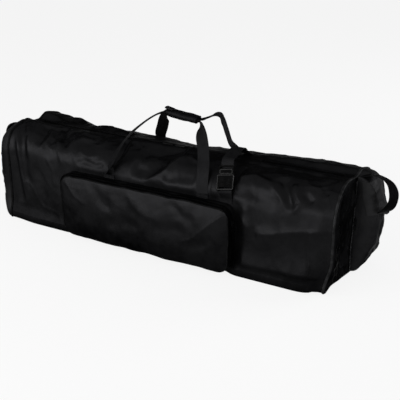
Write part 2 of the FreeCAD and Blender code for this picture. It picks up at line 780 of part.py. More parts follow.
os.makedirs("parts", exist_ok=True)
for node, shape in all_pieces().items():
    shape.exportStep(f"parts/{node}.step")
for name, point in joint_points().items():
    print(f"{name}: hinge line through {point.x:.3f}, {point.y:.3f}, {point.z:.3f}")
buckle_along = buckle_frame()[1]
print(f"buckle slides along {buckle_along.x:.5f}, {buckle_along.y:.5f}, {buckle_along.z:.5f}")
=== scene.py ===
"""Drum hardware case: a long soft nylon case for stands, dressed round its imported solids."""

import json
import logging
import math
from contextlib import contextmanager
from dataclasses import dataclass
from enum import Enum
from functools import cache
from typing import Callable, Iterator, Sequence

import bpy
import numpy as np
from mathutils import Matrix, Vector

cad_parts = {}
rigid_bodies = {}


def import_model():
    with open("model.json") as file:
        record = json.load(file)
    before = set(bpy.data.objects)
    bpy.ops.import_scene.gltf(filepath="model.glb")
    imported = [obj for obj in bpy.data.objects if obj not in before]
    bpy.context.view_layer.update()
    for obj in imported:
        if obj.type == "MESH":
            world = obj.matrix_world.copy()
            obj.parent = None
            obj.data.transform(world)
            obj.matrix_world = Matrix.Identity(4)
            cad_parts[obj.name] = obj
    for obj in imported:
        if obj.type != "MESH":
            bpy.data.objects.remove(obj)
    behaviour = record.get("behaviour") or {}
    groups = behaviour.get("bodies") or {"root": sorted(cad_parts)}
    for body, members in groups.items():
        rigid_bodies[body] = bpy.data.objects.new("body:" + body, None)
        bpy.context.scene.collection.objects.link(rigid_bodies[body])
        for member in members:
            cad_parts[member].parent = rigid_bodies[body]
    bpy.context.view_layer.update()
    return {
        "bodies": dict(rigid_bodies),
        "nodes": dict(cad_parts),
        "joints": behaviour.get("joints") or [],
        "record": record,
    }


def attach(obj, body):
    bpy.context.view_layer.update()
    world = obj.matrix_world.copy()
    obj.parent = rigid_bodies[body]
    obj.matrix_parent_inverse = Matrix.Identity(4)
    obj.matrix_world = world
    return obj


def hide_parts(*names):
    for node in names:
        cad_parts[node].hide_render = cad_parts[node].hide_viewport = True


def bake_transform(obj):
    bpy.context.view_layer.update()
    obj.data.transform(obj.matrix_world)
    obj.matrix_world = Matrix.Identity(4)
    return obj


LOG = logging.getLogger("drum_hardware_case")
Piece = bpy.types.Object
Material = bpy.types.Material
Points = np.ndarray
Pair = tuple[float, float]
Triple = tuple[float, float, float]
Line = tuple[Pair, ...]
Shape = Callable[[Points, Points], Points]
MM = 0.001
FULL_TURN = 2 * math.pi
UP = (0.0, 0.0, 1.0)
WHITE = (1.0, 1.0, 1.0, 1.0)
SEAM = 0.02 * MM  # points nearer than this are one


class Slot(str, Enum):
    """The record's material slots."""

    NYLON = "nylon_cloth"
    PADDED = "padded_wrap"
    WEBBING = "webbing"
    BINDING = "binding"
    ZIP_TAPE = "zip_tape"
    ZIP_METAL = "zip_metal"
    PLASTIC = "buckle_plastic"
    BOARD = "board"


class Side(Enum):
    """Which long side of the case a piece belongs to; the value is its way along Y."""

    FRONT = -1
    REAR = 1

    @property
    def word(self) -> str:
        """The side as piece names have it."""
        return self.name.lower()


# Shader maths


class Shade:
    """A shader socket that takes part in Python sums and products."""

    def __init__(self, recipe: "Recipe", socket: bpy.types.NodeSocket) -> None:
        """Keep the socket and the recipe that it belongs to."""
        self.recipe, self.socket = recipe, socket

    def output(self, name: str | int) -> "Shade":
        """Another output of the same node, by name or place."""
        return Shade(self.recipe, self.socket.node.outputs[name])

    def _maths(self, operation: str, *values: "Shade | float") -> "Shade":
        """Result of a Math node."""
        return self.recipe.node("ShaderNodeMath", {"operation": operation}, *values)

    def __add__(self, other: "Shade | float") -> "Shade":
        """Sum."""
        return self._maths("ADD", self, other)

    __radd__ = __add__

    def __sub__(self, other: "Shade | float") -> "Shade":
        """Difference."""
        return self._maths("SUBTRACT", self, other)

    def __rsub__(self, other: "Shade | float") -> "Shade":
        """Difference from a number."""
        return self._maths("SUBTRACT", other, self)

    def __mul__(self, other: "Shade | float") -> "Shade":
        """Product."""
        return self._maths("MULTIPLY", self, other)

    __rmul__ = __mul__

    def sine(self) -> "Shade":
        """Sine of the value."""
        return self._maths("SINE", self)

    def wave(self, length: float) -> "Shade":
        """Ribs from 0 to 1 along the value, one to each length."""
        return (self * (FULL_TURN / length)).sine() * 0.5 + 0.5

    def size(self) -> "Shade":
        """Value without its sign."""
        return self._maths("ABSOLUTE", self)

    def between(self, low: float, high: float) -> "Shade":
        """Smooth step from 0 at low to 1 at high."""
        settings = {"interpolation_type": "SMOOTHSTEP"}
        return self.recipe.node("ShaderNodeMapRange", settings, self, low, high, 0.0, 1.0)


class Recipe:
    """The node tree of a material or a world."""

    def __init__(self, holder: "Material | bpy.types.World") -> None:
        """Empty a tree.

        Args:
            holder: the material or world that it belongs to.
        """
        holder.use_nodes = True
        self.holder, self.tree = holder, holder.node_tree
        self.tree.nodes.clear()

    def node(self, kind: str, settings: dict | None = None, *inputs: object,
             **named: object) -> Shade:
        """Add a node.

        Args:
            kind: the node's type.
            settings: its own settings, set before its sockets.
            inputs: values or links of its sockets in order; None leaves one as it is.
            named: values or links of sockets by name, with _ for a space.

        Returns:
            The node's first output.
        """
        made = self.tree.nodes.new(kind)
        for key, value in (settings or {}).items():
            setattr(made, key, value)
        for place, value in enumerate(inputs):
            self._feed(made.inputs[place], value)
        for key, value in named.items():
            self._feed(made.inputs[key.replace("_", " ")], value)
        return Shade(self, made.outputs[0])

    def _feed(self, socket: bpy.types.NodeSocket, value: object) -> None:
        """Link or set one socket.

        Args:
            socket: the socket.
            value: what goes in; None leaves it as it is.
        """
        if isinstance(value, Shade):
            self.tree.links.new(value.socket, socket)
        elif value is not None:
            socket.default_value = value

    def close(self, kind: str, surface: Shade) -> None:
        """Lead a shader to an output node of that type."""
        self._feed(self.tree.nodes.new(kind).inputs["Surface"], surface)

    def spot(self) -> Shade:
        """Object coordinates."""
        return self.node("ShaderNodeTexCoord").output("Object")

    def on_cloth(self) -> Shade:
        """The piece's own UV map, in metres."""
        return self.node("ShaderNodeUVMap", {"uv_map": "cloth"})

    def noise(self, where: Shade, scale: float, detail: float = 3.0,
              ridged: bool = False) -> Shade:
        """Noise of one scale.

        Args:
            where: coordinates.
            scale: lumps per metre.
            detail: how many finer layers it has.
            ridged: whether it has sharp crests.

        Returns:
            A value round 0.5.
        """
        settings = {"noise_type": "RIDGED_MULTIFRACTAL" if ridged else "FBM",
                    "normalize": True}
        return self.node("ShaderNodeTexNoise", settings, Vector=where, Scale=scale,
                         Detail=detail, Roughness=0.55)

    def split(self, where: Shade) -> tuple[Shade, Shade, Shade]:
        """X, Y and Z of coordinates."""
        made = self.node("ShaderNodeSeparateXYZ", None, where)
        return made, made.output(1), made.output(2)

    def tint(self, mask: Shade, low: Pair, high: Pair) -> Shade:
        """Near-grey colour between two, each a grey and its cooler blue.

        Args:
            mask: 0 at the first, 1 at the second.
            low: the first.
            high: the second.

        Returns:
            The colour.
        """
        colours = [(grey, grey, blue, 1.0) for grey, blue in (low, high)]
        made = self.node("ShaderNodeMix", {"data_type": "RGBA"}, mask, *[None] * 5, *colours)
        return made.output(2)

    def bump(self, height: Shade, distance: float, strength: float = 1.0,
             under: Shade | None = None) -> Shade:
        """Bumped normal.

        Args:
            height: the relief, from 0 to 1.
            distance: how deep 1 is, in metres.
            strength: how much of it shows.
            under: a normal that it goes on top of.

        Returns:
            The normal.
        """
        return self.node("ShaderNodeBump", None, Strength=strength, Distance=distance,
                         Height=height, Normal=under)

    def cloth(self, lustre: float, **sockets: object) -> Material:
        """Close a dark cloth, whose lustre stays even at glancing angles.

        Args:
            lustre: share of what it sends back that is gloss.
            sockets: the other sockets by name.

        Returns:
            The material.
        """
        return self.finish(Metallic=lustre, Specular_IOR_Level=0.0,
                           Specular_Tint=(0.42, 0.42, 0.42, 1.0), **sockets)

    def finish(self, **sockets: object) -> Material:
        """Close the material with a Principled shader.

        Args:
            sockets: its sockets by name.

        Returns:
            The material.
        """
        self.close("ShaderNodeOutputMaterial",
                   self.node("ShaderNodeBsdfPrincipled", None, **sockets))
        return self.holder


# Finishes


@dataclass(frozen=True)
class Finish:
    """What every finish has: a name and two colours, each a grey and its cooler blue."""

    name: str
    dark: Pair
    light: Pair
    roughness: float = 0.45

    def start(self) -> Recipe:
        """An empty material of the finish's name."""
        return Recipe(bpy.data.materials.new(self.name))


@dataclass(frozen=True)
class NylonFinish(Finish):
    """Coated plain woven nylon, crumpled; it may be painted darker towards the floor, as shade
    below a band of heights.
    """

    fade: Pair | None = None
    roughness: float = 0.38
    rougher: float = 0.14
    lustre: float = 0.76
    thread: float = 0.55 * MM
    crumple: float = 2.0 * MM
    creases: float = 34.0
    patches: float = 7.0
    grain: float = 260.0

    def build(self) -> Material:
        """Make the material.

        Returns:
            The material.
        """
        r = self.start()
        across, along, _ = r.split(r.on_cloth())
        turn = FULL_TURN / self.thread
        weave = (across * turn).sine() * (along * turn).sine()
        spot = r.spot()
        broad = r.noise(spot, self.patches, 4.0)
        fine = r.noise(spot, self.creases, 4.0)
        crease = r.noise(spot, self.creases * 0.45, ridged=True)
        relief = r.bump(fine * 0.5 + crease * 0.5, self.crumple, 0.7)
        relief = r.bump(r.noise(spot, self.grain, 2.0), 0.4 * MM, 0.6, relief)
        relief = r.bump(weave * 0.5 + 0.5, 0.09 * MM, 0.35, relief)
        shade = (broad * 0.6 + fine * 0.4).between(0.35, 0.65)
        # Painted shade: the colour darkens below the given band of heights, towards the floor.
        if self.fade:
            shade = shade * 0.4 + r.split(spot)[2].between(*self.fade) * 0.6
        return r.cloth(self.lustre, Base_Color=r.tint(shade, self.dark, self.light),
                       Roughness=broad.between(0.35, 0.65) * self.rougher + self.roughness,
                       Normal=relief)


@dataclass(frozen=True)
class WebbingFinish(Finish):
    """Heavy webbing with ribs across it and a herringbone of yarns."""

    rib: float = 2.2 * MM
    yarn: float = 1.1 * MM
    roughness: float = 0.4

    def build(self) -> Material:
        """Make the material.

        Returns:
            The material.
        """
        r = self.start()
        along, across, _ = r.split(r.on_cloth())
        zigzag = (across * (math.pi / self.yarn)).sine().size()
        ribs = (along + zigzag * (0.4 * self.rib)).wave(self.rib)
        height = ribs * 0.6 + across.wave(self.yarn) * 0.4
        wear = r.noise(r.spot(), 60.0)
        shade = (height * 0.6 + wear * 0.5).between(0.25, 0.85)
        return r.cloth(0.7, Base_Color=r.tint(shade, self.dark, self.light),
                       Roughness=wear * 0.2 + self.roughness,
                       Normal=r.bump(height, 0.35 * MM, 0.8))


@dataclass(frozen=True)
class BindingFinish(Finish):
    """Grosgrain binding and piping, ribbed across its length."""

    rib: float = 1.3 * MM
    roughness: float = 0.30

    def build(self) -> Material:
        """Make the material.

        Returns:
            The material.
        """
        r = self.start()
        ribs = r.split(r.on_cloth())[0].wave(self.rib)
        wear = r.noise(r.spot(), 45.0)
        return r.cloth(0.7, Base_Color=r.tint(wear.between(0.3, 0.7), self.dark, self.light),
                       Roughness=wear * 0.24 + self.roughness,
                       Normal=r.bump(ribs, 0.18 * MM, 0.5))


@dataclass(frozen=True)
class PlasticFinish(Finish):
    """Moulded plastic with a fine spark-eroded grain."""

    specular: float = 0.01
    roughness: float = 0.23

    def build(self) -> Material:
        """Make the material.

        Returns:
            The material.
        """
        r = self.start()
        spot = r.spot()
        scuff = r.noise(spot, 90.0, 4.0)
        return r.finish(Base_Color=r.tint(scuff.between(0.4, 0.7), self.dark, self.light),
                        Roughness=scuff * 0.22 + self.roughness,
                        Specular_IOR_Level=self.specular,
                        Normal=r.bump(r.noise(spot, 1400.0, 2.0), 0.06 * MM, 0.4))


@dataclass(frozen=True)
class MetalFinish(Finish):
    """Gunmetal plating, worn brighter in places."""

    def build(self) -> Material:
        """Make the material.

        Returns:
            The material.
        """
        r = self.start()
        wear = r.noise(r.spot(), 260.0, 4.0)
        return r.finish(Base_Color=r.tint(wear.between(0.45, 0.7), self.dark, self.light),
                        Metallic=1.0, Roughness=wear * 0.25 + self.roughness,
                        Normal=r.bump(wear, 0.05 * MM, 0.3))


@dataclass(frozen=True)
class ThreadFinish(Finish):
    """Twisted sewing thread."""

    twist: float = 0.5 * MM

    def build(self) -> Material:
        """Make the material.

        Returns:
            The material.
        """
        r = self.start()
        spot = r.spot()
        x, y, z = r.split(spot)
        twist = (x + y + z).wave(self.twist)
        return r.cloth(0.7, Base_Color=r.tint(r.noise(spot, 300.0), self.dark, self.light),
                       Roughness=twist * 0.1 + self.roughness,
                       Normal=r.bump(twist, 0.08 * MM, 0.5))


@cache
def material_of(finish: Finish) -> Material:
    """The material of a finish, built at its first use."""
    return finish.build()


# The case's and the pocket's cloth carry painted shade, darker towards the floor.
NYLON = NylonFinish("black_nylon", (0.0030, 0.0032), (0.0102, 0.0108), fade=(0.03, 0.18))
POCKET_NYLON = NylonFinish("pocket_nylon", (0.0027, 0.0029), (0.0110, 0.0116),
                           fade=(0.06, 0.23), crumple=1.3 * MM)
# Lighter copy of the black nylon: painted light on the deep end half.
LIT_END_CLOTH = NylonFinish("end_nylon", (0.0085, 0.009), (0.0145, 0.0152))
# Darker copy of the black nylon: painted shade on the shallow, recessed end half.
SHADED_END_CLOTH = NylonFinish("matt_lining", (0.0026, 0.0028), (0.0060, 0.0064), thread=1.1 * MM)
# Lighter copy of the black nylon: painted light on the end's patch.
LIT_PATCH_CLOTH = NylonFinish("worn_nylon", (0.0125, 0.013), (0.0205, 0.0212), crumple=1.2 * MM)
WRAP = NylonFinish("wrap_nylon", (0.004, 0.0043), (0.0075, 0.008), crumple=1.2 * MM,
                   creases=70.0)
TAPE_CLOTH = NylonFinish("zip_tape_cloth", (0.0024, 0.0026), (0.0046, 0.0049),
                         thread=0.9 * MM, crumple=0.3 * MM)
COIL = NylonFinish("zip_coil", (0.002, 0.0021), (0.0042, 0.0044), thread=0.8 * MM,
                   crumple=0.1 * MM)
WEBBING = WebbingFinish("black_webbing", (0.006, 0.0065), (0.014, 0.0147))
# Darker copy of the webbing: painted shade on the end loop handles.
SHADED_HANDLE_WEBBING = WebbingFinish("loop_webbing", (0.003, 0.0032), (0.007, 0.0073))
BINDING = BindingFinish("black_binding", (0.008, 0.008), (0.021, 0.022))
# Darker, rougher copy of the binding: painted shade on the left end's welt; the pocket's piping
# uses it too.
SHADED_CORD = BindingFinish("black_piping", (0.003, 0.003), (0.007, 0.0073), roughness=0.43)
THREAD = ThreadFinish("sewing_thread", (0.005, 0.0055), (0.012, 0.013))
PLASTIC = PlasticFinish("moulded_plastic", (0.0015, 0.0015), (0.0038, 0.0038))
GLOSS = PlasticFinish("polished_plastic", (0.0015, 0.0015), (0.0038, 0.0038),
                      roughness=0.15, specular=0.2)
METAL = MetalFinish("gunmetal", (0.02, 0.021), (0.09, 0.094), roughness=0.16)
SLIDER = MetalFinish("slider_gunmetal", (0.007, 0.0073), (0.017, 0.0177), roughness=0.34)


# Bench work shared by every piece


class Bench:
    """Operators, as used by hand, with their selection done in code."""

    @staticmethod
    def only(*pieces: Piece) -> None:
        """Leave edit mode and select these pieces alone.

        Args:
            pieces: the pieces, the first of which becomes active.
        """
        if bpy.context.object and bpy.context.object.mode != "OBJECT":
            bpy.ops.object.mode_set(mode="OBJECT")
        bpy.ops.object.select_all(action="DESELECT")
        for piece in pieces:
            piece.select_set(True)
            bpy.context.view_layer.objects.active = pieces[0]

    @staticmethod
    def named(name: str) -> Piece:
        """Name the object that an operator has just made.

        Args:
            name: its name.

        Returns:
            The object.
        """
        made = bpy.context.object
        made.name = made.data.name = name
        return made

    @classmethod
    def block(cls, name: str, low: Sequence[float], high: Sequence[float]) -> Piece:
        """Add a box, as the start of a piece.

        Args:
            name: its name.
            low: its lower corner.
            high: its upper corner.

        Returns:
            The box.
        """
        cls.only()
        bpy.ops.mesh.primitive_cube_add(size=1.0)
        made = cls.named(name)
        low, high = Vector(low), Vector(high)
        size = Matrix.Diagonal((*(high - low), 1))
        made.data.transform(Matrix.Translation((low + high) / 2) @ size)
        return made

    @classmethod
    @contextmanager
    def edit(cls, piece: Piece, mode: str = "FACE") -> Iterator[None]:
        """Edit mode on one piece, with the selection made before it.

        Args:
            piece: the piece.
            mode: what is selected: EDGE or FACE.
        """
        cls.only(piece)
        bpy.ops.object.mode_set(mode="EDIT")
        bpy.ops.mesh.select_mode(type=mode)
        yield
        bpy.ops.object.mode_set(mode="OBJECT")

    @staticmethod
    def pick(piece: Piece, group: str, wanted: Callable[[object], bool]) -> None:
        """Select parts of a mesh, and nothing else.

        Args:
            piece: the piece.
            group: edges or polygons.
            wanted: the test that a part of that group passes.
        """
        mesh = piece.data
        for parts in (mesh.vertices, mesh.edges, mesh.polygons):
            parts.foreach_set("select", [False] * len(parts))
        for part in getattr(mesh, group):
            part.select = wanted(part)

    @classmethod
    def bevel(cls, piece: Piece, width: float, segments: int = 2,
              wanted: Callable[[Vector, Vector], bool] = lambda a, b: True) -> None:
        """Round edges.

        Args:
            piece: the piece.
            width: how far the rounding reaches.
            segments: its steps.
            wanted: the test that the two ends of an edge pass.
        """
        corners = piece.data.vertices
        cls.pick(piece, "edges", lambda edge: wanted(*(corners[i].co for i in edge.vertices)))
        with cls.edit(piece, "EDGE"):
            bpy.ops.mesh.bevel(offset=width, segments=segments, affect="EDGES")

    @classmethod
    def seal(cls, piece: Piece, near: float) -> None:
        """Merge points that meet, and turn the faces outwards.

        Args:
            piece: the piece.
            near: how near they lie.
        """
        with cls.edit(piece):
            bpy.ops.mesh.select_all(action="SELECT")
            bpy.ops.mesh.remove_doubles(threshold=near)
            bpy.ops.mesh.normals_make_consistent(inside=False)

    @classmethod
    def modify(cls, piece: Piece, kind: str, **settings: object) -> None:
        """Add a modifier and apply it.

        Args:
            piece: the piece.
            kind: the modifier's type.
            settings: its settings by name.
        """
        cls.only(piece)
        added = piece.modifiers.new(kind.lower(), kind)
        for key, value in settings.items():
            setattr(added, key, value)
        bpy.ops.object.modifier_apply(modifier=added.name)

    @classmethod
    def smooth(cls, piece: Piece, angle: float) -> None:
        """Shade smooth up to an angle in degrees."""
        cls.only(piece)
        bpy.ops.object.shade_smooth_by_angle(angle=math.radians(angle))


def unit(rows: Points) -> Points:
    """Rows scaled to length 1."""
    return rows / np.linalg.norm(rows, axis=1)[:, None]


def steps_of(line: Points) -> Points:
    """Lengths from each place of a line to the next."""
    return np.linalg.norm(np.diff(line, axis=0), axis=1)


def running(steps: Points) -> Points:
    """Running sum of steps, from 0."""
    return np.concatenate([[0.0], np.cumsum(steps)])


def read_rows(at: Points, run: Points, rows: Points) -> Points:
    """Rows read at lengths along them, where run is the length at each."""
    return np.stack([np.interp(at, run, column) for column in rows.T], 1)


def bell(away: Points, spread: float) -> Points:
    """1 at 0, falling off smoothly either way."""
    return np.exp(-(away / spread) ** 2)


def smooth_step(t: Points) -> Points:
    """0 below 0, 1 above 1 and smooth between."""
    t = np.clip(t, 0.0, 1.0)
    return t * t * (3 - 2 * t)


def places_of(piece: Piece) -> Points:
    """Read where a piece's vertices are.

    Args:
        piece: the piece.

    Returns:
        The places, one row each.
    """
    flat = np.zeros(len(piece.data.vertices) * 3, np.float32)
    piece.data.vertices.foreach_get("co", flat)
    return flat.reshape(-1, 3).astype(float)


def put(piece: Piece, places: Points) -> None:
    """Move a piece's vertices to places."""
    piece.data.vertices.foreach_set("co", places.astype(np.float32).ravel())
    piece.data.update()


def cloth_map(piece: Piece, u: Points, v: Points) -> None:
    """Give a grid piece a UV map in metres.

    Args:
        piece: the piece.
        u: the first coordinate of each vertex.
        v: the second one.
    """
    mesh = piece.data
    while mesh.uv_layers:
        mesh.uv_layers.remove(mesh.uv_layers[0])
    layer = mesh.uv_layers.new(name="cloth")
    corners = np.zeros(len(mesh.loops), np.int32)
    mesh.loops.foreach_get("vertex_index", corners)
    layer.data.foreach_set("uv", np.stack([u, v], 1)[corners].astype(np.float32).ravel())


def shaped_grid(name: str, along: int, across: int, size: Pair, shape: Shape,
                thickness: float = 0.0, offset: float = -1.0) -> Piece:
    """Cloth: a grid whose vertices are moved to a shape, with its own UV map.

    Args:
        name: the piece's name.
        along: faces along the first way.
        across: faces along the second way.
        size: the flat size, for the UV map.
        shape: gives the places of points from their shares of the two ways.
        thickness: the cloth's thickness; 0 leaves a bare surface.
        offset: -1 thickens inwards, 0 both ways and 1 outwards.

    Returns:
        The piece.
    """
    Bench.only()
    bpy.ops.mesh.primitive_grid_add(x_subdivisions=along, y_subdivisions=across, size=1.0)
    piece = Bench.named(name)
    u, v = places_of(piece)[:, :2].T + 0.5
    put(piece, shape(u, v))
    cloth_map(piece, u * size[0], v * size[1])
    if thickness:
        Bench.modify(piece, "SOLIDIFY", thickness=thickness, offset=offset)
    Bench.smooth(piece, 60.0)
    return piece


def dress(piece: Piece, finish: Finish, slot: Slot, body: str, *nodes: str,
          bend: Pair | None = None) -> None:
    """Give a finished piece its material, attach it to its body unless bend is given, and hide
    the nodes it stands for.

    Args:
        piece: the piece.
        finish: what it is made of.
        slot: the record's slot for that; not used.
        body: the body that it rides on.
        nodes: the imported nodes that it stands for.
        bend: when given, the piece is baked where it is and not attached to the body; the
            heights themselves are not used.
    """
    piece.data.materials.clear()
    piece.data.materials.append(material_of(finish))
    if bend:
        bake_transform(piece)
    else:
        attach(piece, body)
    if nodes:
        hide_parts(*nodes)
    LOG.info("%s: %d faces", piece.name, len(piece.data.polygons))


def finish_node(node: Piece, finish: Finish) -> None:
    """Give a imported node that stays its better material.

    Args:
        node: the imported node.
        finish: what it is made of.
    """
    for slot in node.material_slots:
        slot.material = material_of(finish)
    LOG.info("%s: kept from the packed model", node.name)


# Crumples and folds, in millimetres


def lumps(x: Points, y: Points, size: float, seed: int) -> Points:
    """Smooth seeded noise from -1 to 1 over a plane.

    Args:
        x: first coordinate.
        y: second coordinate.
        size: size of a lump.
        seed: which noise.

    Returns:
        The noise.
    """
    count = 64
    table = np.random.default_rng(seed).uniform(-1, 1, (count, count))
    gx, gy = x / size + 1000.0, y / size + 1000.0
    ix, iy = np.floor(gx).astype(int), np.floor(gy).astype(int)
    fx, fy = smooth_step(gx - ix), smooth_step(gy - iy)

    def row(j: Points) -> Points:
        """Noise along one row of the lattice."""
        return table[ix % count, j % count] * (1 - fx) + table[(ix + 1) % count, j % count] * fx

    return row(iy) * (1 - fy) + row(iy + 1) * fy


@dataclass(frozen=True)
class Rumple:
    """Crumples of one size; with a crest, only the sharp creases between them.

    Each of the two ways gives the shares of both coordinates that make up one of the noise's.
    """

    size: float
    seed: int
    height: float
    first: Pair = (1.0, 0.0)
    second: Pair = (0.0, 1.0)
    crest: int = 0

    def relief(self, x: Points, y: Points) -> Points:
        """How far the crumples move the cloth outwards.

        Args:
            x: first coordinates.
            y: second coordinates.

        Returns:
            Heights.
        """
        at = lumps(self.first[0] * x + self.first[1] * y,
                   self.second[0] * x + self.second[1] * y, self.size, self.seed)
        return self.height * ((1 - np.abs(at)) ** self.crest if self.crest else at)


@dataclass(frozen=True)
class Fold:
    """A fold of the cloth along a line of places on it.

    A positive height is a ridge and a negative one a hollow. The second width is for the left
    of the line's direction, where a fold leans. An open start or end doesn't fade out.
    """

    line: Line
    height: float
    width: float
    other_width: float = 0.0
    sharp: bool = False
    open_start: bool = False
    open_end: bool = False

    def relief(self, x: Points, s: Points) -> Points:
        """How far the fold moves the cloth outwards.

        Args:
            x: first coordinates.
            s: second coordinates.

        Returns:
            Heights.
        """
        points = np.array(self.line, float)
        lengths = steps_of(points)
        best, share, turn = np.full(x.shape, 1e9), np.zeros(x.shape), np.zeros(x.shape)
        for start, step, length, before in zip(points, np.diff(points, axis=0), lengths,
                                               running(lengths)):
            rx, rs = x - start[0], s - start[1]
            t = np.clip((rx * step[0] + rs * step[1]) / length ** 2, 0, 1)
            away = np.hypot(rx - t * step[0], rs - t * step[1])
            near = away < best
            best = np.where(near, away, best)
            share = np.where(near, (before + t * length) / lengths.sum(), share)
            turn = np.where(near, step[0] * rs - step[1] * rx, turn)
        reach = best / np.where(turn > 0, self.other_width or self.width, self.width)
        profile = np.exp(-reach * 1.4) / (1 + 0.3 * reach) if self.sharp else bell(reach, 1.0)
        for held, left in ((self.open_start, share), (self.open_end, 1 - share)):
            if not held:
                profile = profile * smooth_step(left / 0.22 + 0.15)
        return self.height * profile


def relief_of(forms: Sequence[Fold | Rumple], x: Points, s: Points) -> Points:
    """Sum of folds or crumples at places on the cloth."""
    return sum(form.relief(x, s) for form in forms)


# The skin that all the case's cloth lies on


def arc_points(center: Pair, radius: float, start: float, end: float,
               count: int = 40) -> tuple[Points, Points]:
    """Lay out an arc.

    Args:
        center: its middle.
        radius: its radius.
        start: its first angle, in degrees.
        end: its last angle.
        count: how many points it has.

    Returns:
        Its points and their outward directions.
    """
    angle = np.radians(np.linspace(start, end, count))
    out = np.stack([np.cos(angle), np.sin(angle)], 1)
    return np.array(center) + radius * out, out


@dataclass
class Loop:
    """A flat closed line of places with outward directions, read by the length along it."""

    parts: Sequence[tuple[Points, Points]]

    def __post_init__(self) -> None:
        """Join the parts and measure them."""
        self.points, self.outs = (np.concatenate(rows) for rows in zip(*self.parts))
        self.run = running(steps_of(self.points))
        self.total = float(self.run[-1])

    def at(self, s: Points) -> tuple[Points, Points]:
        """Places and outward directions at lengths along the loop."""
        s = np.mod(s, self.total)
        return read_rows(s, self.run, self.points), unit(read_rows(s, self.run, self.outs))


